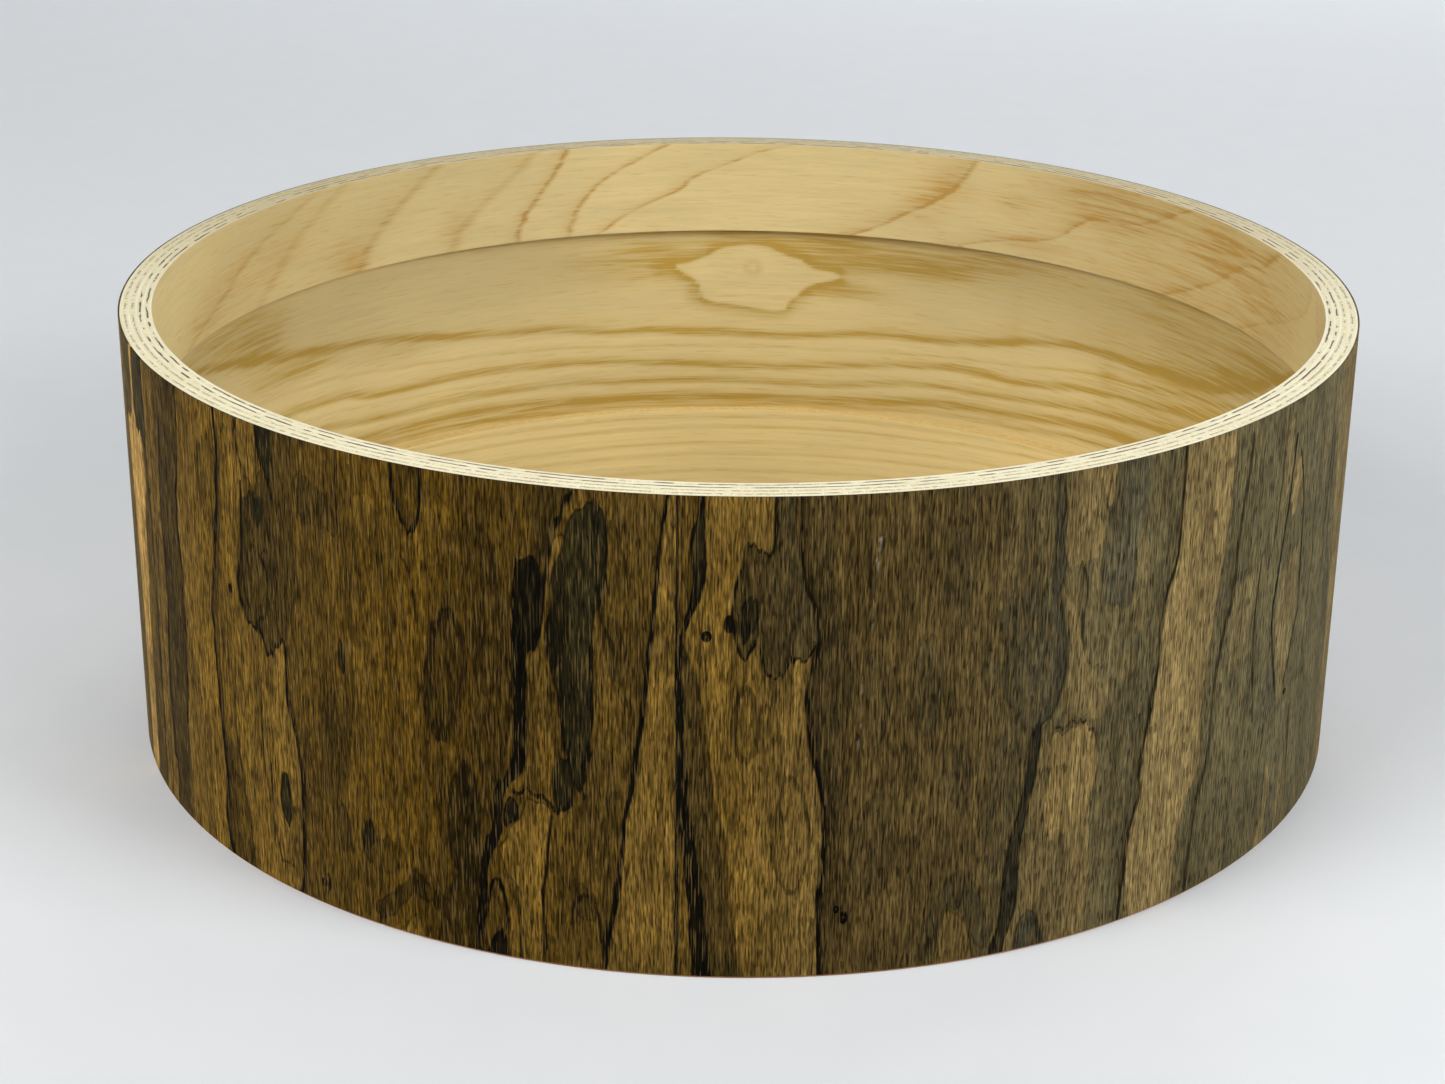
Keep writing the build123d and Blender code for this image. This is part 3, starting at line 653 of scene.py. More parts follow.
# Late-wood lines on the inner ply: (width in mm, strength, reach of the soft side in mm, points).
WALL_LINES = [
    (1.5, 0.9, 3.4, [(262, 88), (252, 82), (243, 77), (233, 72.5), (228, 71.5), (220, 68), (215, 65),
        (208, 63), (203, 62.5), (195, 60), (190, 59.5), (180, 58), (175, 57.5), (170, 58.5), (163, 60.5),
        (155, 62), (150, 63.5), (143, 67.5), (138, 69), (130, 69), (122, 69.5), (116, 72), (110, 77),
        (105, 84), (98, 94)]),
    (1.4, 0.8, 3.0, [(262, 60), (250, 57.5), (240, 55.5), (230, 54), (227, 51.5), (220, 50.5), (205, 50),
        (195, 49.5), (190, 47.5), (180, 46), (175, 45.5), (168, 48), (160, 50.5), (152, 52.5), (146, 51.5),
        (140, 53), (132, 56), (125, 58), (118, 60), (100, 66)]),
    (1.3, 0.7, 2.6, [(262, 49), (245, 47.5), (228, 43.5), (215, 42), (205, 42.5), (200, 43), (195, 41.5),
        (180, 40.5), (175, 39.5), (168, 40.5), (160, 43.5), (150, 44.5), (145, 46), (135, 47.5), (128, 49),
        (100, 55)]),
    (1.7, 0.75, 1.8, [(262, 39), (240, 37.5), (226, 37), (212, 36.5), (200, 35.5), (185, 35), (180, 34),
        (170, 34), (165, 35), (158, 37), (150, 39), (145, 40), (138, 41), (120, 42), (98, 45)]),
]
WALL_FAINT = [
    (0.6, 0.35, 1.2, [(262, 68), (240, 63), (215, 57), (190, 54), (170, 53), (150, 57), (130, 62),
        (100, 74)]),
    (0.9, 0.5, 1.0, [(262, 34), (224, 33), (205, 32), (190, 32), (180, 31.4), (150, 34.5), (130, 37),
        (98, 40)]),
    (0.4, 0.25, 0.8, [(262, 52), (240, 51), (215, 46), (190, 45), (170, 44), (150, 48), (130, 51),
        (100, 60)]),
]
# Golden streaks: (azimuth, height, half width in degrees, half height in mm, strength).
WALL_STREAKS = [
    (160, 88, 10, 5, 0.75), (167, 76, 5, 3, 0.6), (193, 83, 8, 6, 0.35), (197, 87, 5, 1.5, 0.3),
    # (180, 97, 60, 2.5, 0.4) is no streak but painted shade: a warm dark band just under the top ring.
    (177, 90, 26, 8, 0.3), (180, 97, 60, 2.5, 0.4), (189.4, 83, 1.2, 3, 0.5), (185.6, 74, 0.8, 3, 0.4),
    (244, 84, 6, 9, 0.55), (252, 92, 9, 6, 0.4), (190, 89, 3, 4, 0.4), (106, 88, 5, 6, 0.6),
    (112, 79, 5, 4, 0.5), (168, 93, 5, 3, 0.5), (148, 92, 10, 3, 0.35), (238, 69.5, 8, 3.5, 0.6),
    (222, 65, 6, 3, 0.35), (146, 70, 1.2, 12, 0.12), (133, 65, 1.4, 11, 0.2), (205, 34, 26, 2.2, 0.45),
    (150, 37, 20, 2, 0.2), (118, 68, 16, 40, 0.5), (128, 92, 14, 10, 0.2),
]
# The star-shaped light patch on the inner ply, and the pale field beside it.
LIGHT_ISLAND = [
    (187.8, 84.2), (186, 85.8), (184, 87.5), (182.8, 90), (181, 91.5), (178.5, 92), (176, 91), (174, 88.5),
    (172.6, 87.5), (171.5, 85), (170, 83.8), (168.3, 83.2), (167.6, 81), (168.3, 79.5), (170, 78),
    (171.5, 76.5), (172.8, 73), (173.8, 70), (174.5, 67), (176.5, 66.8), (178.5, 67.8), (181, 69),
    (183, 69.6), (184.4, 72), (184.8, 76), (185.6, 78.8), (187, 80.8),
]
LIGHT_FIELD = [
    (237, 97), (238, 92), (241, 81), (236, 75), (228, 72.5), (222, 70.5), (214, 68), (207, 72), (209, 84),
    (213, 97),
]
# Slanting sweeps of the top ring's face: (width, strength, reach of the soft side, points).
RING_LINES = [
    (3.6, 0.3, 12.0, [(262, 98), (256, 103), (251, 109), (246, 116), (240, 122), (234, 129)]),
    (4.0, 0.28, 12.0, [(246, 97), (242, 106), (238, 115), (234, 122), (230, 129)]),
    (3.0, 0.42, 11.0, [(228.6, 97), (227.4, 104), (225.4, 110), (223, 116), (220.4, 122), (217, 129)]),
    (3.0, 0.34, 9.0, [(216, 97), (214.6, 104), (212, 111), (209, 118), (206.5, 124), (205, 129)]),
    (1.3, 0.8, 3.0, [(207.3, 97), (206.6, 104), (205, 111), (203, 118), (201.2, 125), (200.4, 129)]),
    (1.3, 0.7, 3.0, [(200.7, 97), (199.8, 106), (198, 113), (195.4, 118.5), (192, 123.6), (188, 129)]),
    (1.2, 0.7, 3.0, [(197, 97.5), (194, 103), (191, 108), (187.6, 112), (185.4, 117), (182, 121),
        (178, 125.6), (173, 129)]),
    (1.5, 0.75, 8.0, [(167, 97), (163, 102), (160, 107), (157, 111.5), (154.6, 116), (152.6, 122),
        (151, 129)]),
    (1.3, 0.6, 6.0, [(153, 98.5), (147, 102.5), (143, 104.5), (140, 107.5), (137.4, 113), (135, 116),
        (129, 118), (120, 129)]),
    (2.0, 0.45, 8.0, [(125, 97), (120, 103), (116, 108), (113, 113), (110, 118), (106, 121), (102, 129)]),
    (1.4, 0.25, 4.0, [(110, 98), (104, 105), (99, 110), (93, 118), (91, 129)]),
]
RING_STREAKS = [
    (230, 102, 3, 7, 0.35), (252, 112, 8, 10, 0.15), (257, 102, 7, 6, 0.35), (215, 107, 2, 6, 0.2),
    (158, 108, 3, 7, 0.2), (144, 103, 5, 2.5, 0.35), (104, 112, 9, 16, 0.3), (115, 121, 5, 6, 0.35),
    (133, 122, 8, 7, 0.6), (146, 116, 3, 5, 0.3), (155, 118, 4, 8, 0.25), (240, 110, 12, 16, 0.15),
    (118, 108, 22, 30, 0.38),
]
# Lines of the lower ring's face, given like the wall's.
LOW_RING_LINES = [
    (0.8, 0.35, 1.6, [(262, 30), (225, 29.5), (200, 28.5), (180, 28.3), (160, 29), (140, 30), (98, 31)]),
    (0.7, 0.35, 1.4, [(262, 26), (225, 25.5), (200, 24.4), (180, 24.3), (160, 25.2), (140, 27), (98, 29)]),
    (0.7, 0.3, 1.4, [(262, 20), (225, 19.5), (200, 18.4), (180, 18.3), (160, 19.4), (140, 21.5), (98, 25)]),
    (0.7, 0.3, 1.4, [(262, 15), (225, 15), (200, 14), (180, 14), (160, 15.4), (140, 18), (98, 21)]),
    (0.7, 0.3, 1.4, [(262, 8), (225, 8.5), (200, 7.5), (180, 7.5), (160, 9), (140, 11), (98, 14)]),
]


# Wavering of the inside faces' lines: layers as for the veneer.
WALL_WAVER = [(0.7, 30, 20, 0), (0.25, 7, 6, 1)]
ISLAND_SLIP = [(0.9, 12, 1.6, 2)]
RING_WAVER = [(0.8, 20, 14, 0), (0.5, 15, 2.1, 1), (0.35, 11, 0.9, 2)]
LOW_RING_WAVER = [(0.5, 30, 20, 0)]
WALL_SEED = 31
RING_SEED = 41
LOW_RING_SEED = 51
ISLAND_EDGE = (0.95, 0.9, 2.0)  # strength, width inside and reach outside, in mm
LIGHT_PARTS = [(LIGHT_ISLAND, 1.2), (LIGHT_FIELD, 5.0)]  # outline, mm over which the lines fade inside it
ISLAND_EYE = (178.3, 83)  # azimuth and height of the faint ring inside the island
EYE_RADIUS = 2.2  # millimetres
WALL_SHADE_HEIGHTS = (50, 90)  # millimetres, between which the painted shade darkens the wall upwards
WALL_SHADE_SIDES = (8, 40)  # degrees from the middle of the back, between which the painted shade grows further
WALL_TOP = (97.6, 97.4)  # millimetres: only the wall below the top ring gets the painted shade


def mirrored_azimuth(azimuth):
    """The drawn back half stands for the front half too, so the grain meets itself at both sides."""
    turned = np.mod(azimuth, 360)
    return np.where((turned < 90) | (turned > 270), np.mod(180 - turned, 360), turned)


def level_line(late, azimuth, z, line):
    """Adds one year-ring line that runs round the shell: a crisp core, with a soft side above it."""
    width, level, reach, points = line
    drawn = np.array(sorted(points), float)
    above = z - np.interp(azimuth, drawn[:, 0], drawn[:, 1])
    spread = width * np.where(above < 0, 0.8, 1.5)
    crisp = np.exp(-((above / spread) ** 2))
    soft = np.where(above > 0, np.exp(-above / reach), 0) * 0.5
    return np.maximum(late, level * np.maximum(crisp, soft))


def level_lines(lines, turned, z):
    late = np.zeros(z.shape)
    for line in lines:
        late = level_line(late, turned, z, line)
    return late


def streak_field(late, streaks, azimuth, z):
    for centre, level, half_width, half_height, amount in streaks:
        apart = ((azimuth - centre) / half_width) ** 2 + ((z - level) / half_height) ** 2
        late = late + amount * np.exp(-apart)
    return late


def wall_grain(azimuth, height):
    """How much golden late wood shows on the inner ply."""
    turned = mirrored_azimuth(azimuth)
    arc = turned * DEGREE_ARC
    z = height + layered(WALL_WAVER, arc, height, WALL_SEED)
    late = level_lines(WALL_LINES + WALL_FAINT, turned, z)
    level, width, reach = ISLAND_EDGE
    path = rounded_path(in_millimetres(LIGHT_ISLAND), True, 3)
    distance, inside = edge_distance(path, arc + layered(ISLAND_SLIP, arc, height, WALL_SEED), z, True)
    edge = np.where(inside, np.exp(-((distance / width) ** 2)), np.exp(-distance / reach))
    late = np.maximum(late, level * edge)
    late = streak_field(late, WALL_STREAKS, turned, z)
    for outline, fade in LIGHT_PARTS:
        path = rounded_path(in_millimetres(outline), True, 3)
        distance, inside = edge_distance(path, arc, z, True)
        late = np.where(inside, late * np.exp(-distance / fade), late)
    from_eye = np.hypot((turned - ISLAND_EYE[0]) * 3, z - ISLAND_EYE[1])
    return late + 0.3 * np.exp(-((from_eye - EYE_RADIUS) ** 2) / 1.5)


def painted_wall_shade(azimuth, height):
    """How much painted shade darkens the wall towards its top, under the top ring, and more towards its
    sides.
    """
    turned = mirrored_azimuth(azimuth)
    upper = smooth_step(*WALL_SHADE_HEIGHTS, height) * smooth_step(*WALL_TOP, height)
    sides = smooth_step(*WALL_SHADE_SIDES, np.abs(turned - 180))
    return upper * (0.16 + 0.12 * sides)


def ring_grain(azimuth, height):
    """The same for the top ring's face, whose lines slant."""
    turned = mirrored_azimuth(azimuth)
    arc = turned * DEGREE_ARC
    x = arc + layered(RING_WAVER, arc, height, RING_SEED)
    late = np.zeros(x.shape)
    for width, level, reach, points in RING_LINES:
        path = rounded_path(in_millimetres(points), False, 3)
        drawn = path[np.argsort(path[:, 1])]
        away = x - np.interp(height, drawn[:, 1], drawn[:, 0])
        soft = np.where(away > 0, np.exp(-away / reach), 0) * 0.6
        late = np.maximum(late, level * np.maximum(np.exp(-((away / width) ** 2)), soft))
    return streak_field(late, RING_STREAKS, turned, height)


def low_ring_grain(azimuth, height):
    turned = mirrored_azimuth(azimuth)
    z = height + layered(LOW_RING_WAVER, turned * DEGREE_ARC, height, LOW_RING_SEED)
    return level_lines(LOW_RING_LINES, turned, z)


# ---------------------------------------------------------------- meshes


def bent_strip(name, profile, start, sweep, columns):
    """A closed strip bent round the Z axis. profile is its section's (radius, height) loop, in metres."""
    section = np.array(profile, float)
    angles = np.radians(start + sweep * np.arange(columns + 1) / columns)
    radius = section[:, 0][None, :]
    x = radius * np.sin(angles)[:, None]
    y = -radius * np.cos(angles)[:, None]
    z = np.broadcast_to(section[:, 1][None, :], x.shape)
    vertices = np.stack([x, y, z], -1).reshape(-1, 3)
    count = len(section)
    here = np.arange(columns)[:, None] * count + np.arange(count)[None, :]
    up = np.arange(columns)[:, None] * count + (np.arange(count)[None, :] + 1) % count
    quads = np.stack([here, here + count, up + count, up], -1).reshape(-1, 4)
    first_end = list(range(count))
    last_end = [columns * count + i for i in reversed(range(count))]
    mesh = bpy.data.meshes.new(name)
    mesh.from_pydata(vertices.tolist(), [], quads.tolist() + [first_end, last_end])
    mesh.update()
    piece = bpy.data.objects.new(name, mesh)
    bpy.context.scene.collection.objects.link(piece)
    azimuth = np.repeat(np.degrees(angles), count)
    return piece, azimuth, vertices


SHARP_EDGE = 35  # degrees


def finish_piece(piece, node, materials, chooser=None):
    """Shades the piece, gives it its materials, and puts it in the CAD node's place."""
    mesh = piece.data
    mesh.polygons.foreach_set("use_smooth", np.ones(len(mesh.polygons), bool))
    mesh.set_sharp_from_angle(angle=math.radians(SHARP_EDGE))
    for material in materials:
        mesh.materials.append(material)
    if chooser is not None:
        centres = np.zeros(len(mesh.polygons) * 3)
        mesh.polygons.foreach_get("center", centres)
        mesh.polygons.foreach_set("material_index", chooser(centres.reshape(-1, 3)).astype(np.int32))
    mesh.update()
    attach(piece, "root")
    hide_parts(node)


def write_numbers(mesh, values):
    """Gives each vertex its named numbers, which the materials read."""
    for name, numbers in values.items():
        layer = mesh.attributes.new(name, "FLOAT", "POINT")
        layer.data.foreach_set("value", np.ascontiguousarray(numbers, np.float32))


def write_unrolled(mesh, azimuth, vertices):
    """Gives each vertex its place on the flat, unrolled wood: arc length, height and radius, in metres."""
    layer = mesh.attributes.new("unrolled", "FLOAT_VECTOR", "POINT")
    arc = np.radians(azimuth) * SHELL_RADIUS
    radius = np.hypot(vertices[:, 0], vertices[:, 1])
    flat = np.stack([arc, vertices[:, 2], radius], -1)
    layer.data.foreach_set("vector", np.ascontiguousarray(flat, np.float32).ravel())


ROUND_MIDDLE = 0.3  # the middle of a rounded edge stands in from its corner by this share of its size


def strip_section(inner, outer, bottom, top, round_edge, outer_rows, inner_heights, lower_bevel=None):
    """Section of a ply: up its outside, over its top edge, down its inside."""
    low = lower_bevel or round_edge
    middle = ROUND_MIDDLE * round_edge
    low_middle = ROUND_MIDDLE * low
    section = [(outer, z) for z in np.linspace(bottom + low, top - round_edge, outer_rows + 1)]
    section += [(outer - middle, top - middle), (outer - round_edge, top)]
    section += [(inner + round_edge, top), (inner + middle, top - middle)]
    section += [(inner, z) for z in inner_heights]
    section += [(inner + middle, bottom + middle), (inner + round_edge, bottom)]
    section += [(outer - low, bottom), (outer - low_middle, bottom + low_middle)]
    return section


# ---------------------------------------------------------------- shader helpers


def linear(red, green, blue):
    """A colour given as 8-bit sRGB, as a shader wants it."""
    shares = [value / 255 for value in (red, green, blue)]
    return tuple(v / 12.92 if v <= 0.04045 else ((v + 0.055) / 1.055) ** 2.4 for v in shares) + (1.0,)


class Field:
    """A number, colour or place that varies over a surface: one output of a shader node."""

    def __init__(self, node, output):
        self.tree = node.id_data
        self.node = node
        self.socket = node.outputs[output]

    def __add__(self, other):
        return calculate("ADD", self, other)

    def __sub__(self, other):
        return calculate("SUBTRACT", self, other)

    def __rsub__(self, other):
        return calculate("SUBTRACT", other, self)

    def __mul__(self, other):
        return calculate("MULTIPLY", self, other)

    def __rpow__(self, base):
        return calculate("POWER", base, self)

    def __abs__(self):
        return calculate("ABSOLUTE", self, 0.0)

    def clamped(self):
        self.node.use_clamp = True
        return self


def feed(socket, value):
    if isinstance(value, Field):
        socket.id_data.links.new(value.socket, socket)
    else:
        socket.default_value = value


def add_node(tree, kind, inputs, output=0, **settings):
    node = tree.nodes.new("ShaderNode" + kind)
    for name, value in settings.items():
        setattr(node, name, value)
    for name, value in inputs.items():
        feed(node.inputs[name], value)
    return Field(node, output)


def attribute(tree, name, output="Fac"):
    return add_node(tree, "Attribute", {}, output, attribute_name=name)


def calculate(operation, first, second):
    tree = (first if isinstance(first, Field) else second).tree
    return add_node(tree, "Math", {0: first, 1: second}, operation=operation)


def noise(vector, scale, offset, detail, roughness, distortion=0.0):
    """Noise that is stretched by having its own scale, in bumps to a metre, along each axis."""
    place = add_node(vector.tree, "Mapping", {"Vector": vector, "Scale": scale, "Location": offset})
    inputs = {"Vector": place, "Scale": 1.0, "Detail": detail, "Roughness": roughness}
    inputs["Distortion"] = distortion
    return add_node(vector.tree, "TexNoise", inputs, "Fac")


def span(value, low, high, to_low=0.0, to_high=1.0, kind="SMOOTHSTEP"):
    """A number moved from one range to another, smoothly, and held at the ends."""
    inputs = {"Value": value, "From Min": low, "From Max": high, "To Min": to_low, "To Max": to_high}
    return add_node(value.tree, "MapRange", inputs, "Result", interpolation_type=kind)


def ramp(value, low, high, to_low, to_high):
    """Like span, but in a straight line."""
    return span(value, low, high, to_low, to_high, "LINEAR")


def blended(factor, first, second):
    """A mix of two colours. The node's inputs 6 and 7 and its output 2 are the ones for colour."""
    return add_node(factor.tree, "Mix", {"Factor": factor, 6: first, 7: second}, 2, data_type="RGBA")


def times(colour, value):
    """A colour made lighter or darker by a number that varies over the surface."""
    return add_node(colour.tree, "VectorMath", {0: colour, "Scale": value}, operation="SCALE")


def new_material(name):
    material = bpy.data.materials.new(name)
    material.use_nodes = True
    tree = material.node_tree
    tree.nodes.clear()
    output = tree.nodes.new("ShaderNodeOutputMaterial")
    shader = tree.nodes.new("ShaderNodeBsdfPrincipled")
    tree.links.new(shader.outputs["BSDF"], output.inputs["Surface"])
    return material, tree, shader


def dress(shader, colour, roughness, relief, depth, strength):
    """Feeds the shader its colour, roughness and bump. depth is in metres."""
    inputs = {"Height": relief, "Distance": depth, "Strength": strength}
    bump = add_node(shader.id_data, "Bump", inputs, "Normal")
    feed(shader.inputs["Base Color"], colour)
    feed(shader.inputs["Roughness"], roughness)
    feed(shader.inputs["Normal"], bump)


# ---------------------------------------------------------------- materials

# On the unrolled wood, X runs round the shell, Y up it and Z out from its axis.
NO_OFFSET = (0.0, 0.0, 0.0)

GROUND_BROWN = linear(76, 55, 11)
GROUND_GREY = linear(83, 76, 52)
GOLD_BROWN = linear(101, 76, 24)
GOLD_GREY = linear(120, 102, 65)
DEEP_GREEN = linear(28, 23, 4)
DEEP_GREY = linear(70, 66, 50)
INK = linear(12, 9, 3)
SAPWOOD = linear(156, 123, 66)
FIBRE_SHEEN = linear(132, 106, 58)
SCRATCH_GREY = linear(168, 162, 142)
EARLY_WOOD = linear(222, 200, 142)
LATE_WOOD = linear(182, 148, 60)
TONE_BASE = 2.2  # a tone of 1 makes the wood this many times lighter
KNOT_RIM = 0.68  # where a ringed knot's dark ring lies, in knot widths


def patch_mask(tree, name, softness, jitter):
    """1 inside a drawn patch and 0 outside it, with an edge frayed by the fibres."""
    return span(attribute(tree, name) + jitter, -softness, softness)


def patch_outline(tree, name, width, strength, jitter, grey):
    """A thin dark line where a patch ends, fainter on the grey side of the shell."""
    near = span(abs(attribute(tree, name) + jitter), width, 0.1)
    level = attribute(tree, name + "_level") * span(grey, 0, 1, strength, 0.3)
    return (near * level).clamped()


def figure_colour(tree, grey, fine, streak):
    """The ground, the patches on it and the dark lines over them, and how black the black patches are."""
    edge_jitter = (fine - 0.5) * 0.9 + (streak - 0.5) * 1.1
    line_jitter = edge_jitter * 0.5
    colour = blended(grey, GROUND_BROWN, GROUND_GREY)
    gold = blended(grey, GOLD_BROWN, GOLD_GREY)
    gold_part = patch_mask(tree, "gold", 0.22, edge_jitter) * attribute(tree, "gold_level")
    colour = blended(gold_part, colour, gold)
    colour = blended(patch_outline(tree, "gold", 0.55, 0.7, line_jitter, grey), colour, INK)
    deep = blended(grey, DEEP_GREEN, DEEP_GREY)
    inside_dark = patch_mask(tree, "dark", 0.25, edge_jitter)
    dark_part = (inside_dark * attribute(tree, "dark_level")).clamped()
    colour = blended(dark_part, colour, deep)
    # A dark patch's strength above 1 is how far it turns black.
    black_part = (attribute(tree, "dark_level") - 1.0).clamped()
    black_part = inside_dark * (black_part * span(streak, 0.35, 0.6, 0.6, 1.0))
    colour = blended(black_part, colour, INK)
    colour = blended(patch_outline(tree, "dark", 0.6, 0.8, line_jitter, grey), colour, INK)
    colour = blended(patch_mask(tree, "sap", 0.3, edge_jitter), colour, SAPWOOD)
    shade = attribute(tree, "shade") * span(streak, 0.25, 0.75, 0.7, 1.0)
    colour = blended(shade, colour, INK)
    # A line's number is positive outside it, so its mask is turned round.
    ink = 1.0 - patch_mask(tree, "ink", 0.25, line_jitter)
    ink = (ink * (attribute(tree, "ink_level") * 1.2)).clamped()
    colour = blended(ink, colour, INK)
    colour = blended(span(attribute(tree, "solid_knot"), 1.05, 0.8), colour, INK)
    knot_edge = abs(attribute(tree, "ring_knot") - KNOT_RIM)
    return blended(span(knot_edge, 0.45, 0.28), colour, INK), black_part


def figure_lightness(tree, grey, waves, pore):
    """The tone, varied by each wave (noise, half its range, depth) and darker in the pores."""
    lightness = TONE_BASE ** attribute(tree, "tone")
    calm = ramp(grey, 0.0, 1.0, 1.0, 0.6)
    for wave, reach, depth in waves:
        swing = ramp(wave, 0.5 - reach, 0.5 + reach, -depth, depth)
        lightness = lightness * (swing * calm + 1.0)
    return lightness * ramp(pore, 0.0, 1.0, 1.05, 0.45)


def veneer_material():
    """Figured veneer, drawn by the numbers that veneer_figure gives the mesh."""
    material, tree, shader = new_material("face_veneer")
    flat = attribute(tree, "unrolled", "Vector")
    fine = noise(flat, (2300, 190, 900), NO_OFFSET, 1.0, 0.6)
    streak = noise(flat, (1100, 34, 300), (3.1, 7.7, 0), 3.0, 0.65, 0.2)
    cloud = noise(flat, (300, 24, 60), (9.3, 1.7, 0), 3.0, 0.6, 0.5)
    speck = noise(flat, (2600, 500, 900), (5.1, 2.9, 0), 0.0, 0.5)
    pore = span(noise(flat, (2200, 240, 700), (1.3, 4.7, 0), 0.0, 0.4), 0.58, 0.66)
    hair = noise(flat, (2700, 150, 900), (8.3, 6.1, 0), 1.0, 0.5)
    # greyness: partly the wood's own, partly painted sheen on the right side of the shell
    grey = attribute(tree, "grey")
    colour, black_part = figure_colour(tree, grey, fine, streak)
    waves = ((fine, 0.15, 0.55), (streak, 0.17, 0.4), (cloud, 0.2, 0.28), (speck, 0.2, 0.25))
    colour = times(colour, figure_lightness(tree, grey, waves, pore))
    sheen = span(hair, 0.56, 0.68) * span(black_part, 0, 1, 0.34, 0.08)
    colour = blended(sheen, colour, FIBRE_SHEEN)
    colour = blended(attribute(tree, "scratch"), colour, SCRATCH_GREY)
    dress(shader, colour, ramp(streak, 0.2, 0.8, 0.6, 0.74), fine - pore * 0.8, 0.00012, 0.6)
    shader.inputs["Specular IOR Level"].default_value = 0.03
    return material


def inner_face_material(name, early, late_colour, along, across):
    """Pale ash, with its grain round the shell. The 'late' number on the mesh draws the year rings."""
    material, tree, shader = new_material(name)
    flat = attribute(tree, "unrolled", "Vector")
    fibre = noise(flat, (along, across, 40), NO_OFFSET, 3.0, 0.6)
    thread = noise(flat, (along * 0.35, across * 0.4, 40), (3.7, 1.1, 0), 3.0, 0.6, 0.4)
    cloud = noise(flat, (14, 34, 10), (2.3, 5.9, 0), 2.0, 0.5, 0.4)
    dash = span(noise(flat, (along * 1.6, across * 1.3, 60), (8.7, 4.3, 0), 1.0, 0.4), 0.60, 0.72)
    late = attribute(tree, "late") * ramp(thread, 0.3, 0.7, 0.3, 1.7)
    late = late * ramp(fibre, 0.3, 0.7, 0.7, 1.3)
    late = (late + (fibre - 0.5) * 0.8 + dash * 0.26).clamped()
    lightness = ramp(cloud, 0.25, 0.75, 0.93, 1.07) * ramp(fibre, 0.25, 0.75, 0.92, 1.08)
    lightness = lightness * ramp(thread, 0.3, 0.7, 0.94, 1.05)
    # painted shade, darker under the top ring and towards the wall's sides
    lightness = lightness * (1.0 - attribute(tree, "painted_shade"))
    colour = times(blended(late, early, late_colour), lightness)
    dress(shader, colour, ramp(thread, 0.2, 0.8, 0.5, 0.62), fibre, 0.00008, 0.5)
    return material


FAR_RIM_SHADE = linear(186, 166, 112)  # painted shade: the rim across the shell, darker and more tan than the near rim
LEDGE_LIT_WOOD = linear(252, 226, 156)  # painted warm light, as the light inside the shell falls on the lower ring's pale top
FOOT_SHADE = linear(150, 104, 68)  # painted shade: the ply's lowest millimetre below the veneer, its pale wood darkened to a brownish line
DASH_BROWN = linear(92, 66, 18)
FAR_SHARE = 0.8


def long_edge_material(name, lighting_colour):
    """The cut edge of a ply whose grain runs round the shell: pale, with fine lines along it."""
    material, tree, shader = new_material(name)
    flat = attribute(tree, "unrolled", "Vector")
    hair = noise(flat, (60, 300, 5200), NO_OFFSET, 2.0, 0.6)
    cloud = noise(flat, (35, 30, 400), (4.1, 0, 2.2), 2.0, 0.5)
    colour = blended(span(hair, 0.35, 0.75), linear(252, 247, 220), linear(235, 222, 178))
    colour = times(colour, ramp(cloud, 0.25, 0.75, 0.93, 1.04))
    # painted lighting, by the mesh's number: shade on the far rim, warm light on the lower ring's top
    colour = blended(attribute(tree, "painted_lighting") * FAR_SHARE, colour, lighting_colour)
    height = add_node(tree, "SeparateXYZ", {0: flat}, "Y")
    # painted shade along the lowest millimetre
    colour = blended(span(height, 1.2 * MM, 0.5 * MM), colour, FOOT_SHADE)
    dress(shader, colour, ramp(cloud, 0.2, 0.8, 0.55, 0.7), hair, 0.00005, 0.5)
    return material


def cross_edge_material(name, strength, length, lighting_colour):
    """The cut edge of a ply whose grain runs up the shell: end grain, broken into dark dashes."""
    material, tree, shader = new_material(name)
    flat = attribute(tree, "unrolled", "Vector")
    dash = noise(flat, (length, 260, 900), NO_OFFSET, 1.0, 0.4, 0.2)
    off_centre = abs(attribute(tree, "band") + (dash - 0.5) * 0.8)
    dash = span(dash, 0.44, 0.52) * span(off_centre, 0.36, 0.14)
    stroke = noise(flat, (2600, 200, 500), (1.9, 0, 3.1), 2.0, 0.6)
    colour = blended(span(stroke, 0.35, 0.7), linear(247, 239, 202), linear(229, 212, 160))
    # painted lighting, by the mesh's number: shade on the far rim, warm light on the lower ring's top
    colour = blended(attribute(tree, "painted_lighting") * FAR_SHARE, colour, lighting_colour)
    colour = blended(dash * strength, colour, DASH_BROWN)
    dress(shader, colour, ramp(stroke, 0.2, 0.8, 0.6, 0.75), stroke - dash, 0.00008, 0.6)
    return material


def floor_material():
    material, tree, shader = new_material("floor")
    place = add_node(tree, "TexCoord", {}, "Object")
    grain = noise(place, (40, 40, 40), NO_OFFSET, 2.0, 0.5)
    feed(shader.inputs["Base Color"], blended(grain, linear(234, 237, 240), linear(238, 240, 243)))
    feed(shader.inputs["Roughness"], ramp(grain, 0.0, 1.0, 0.75, 0.85))
    shader.inputs["Specular IOR Level"].default_value = 0.1
    return material


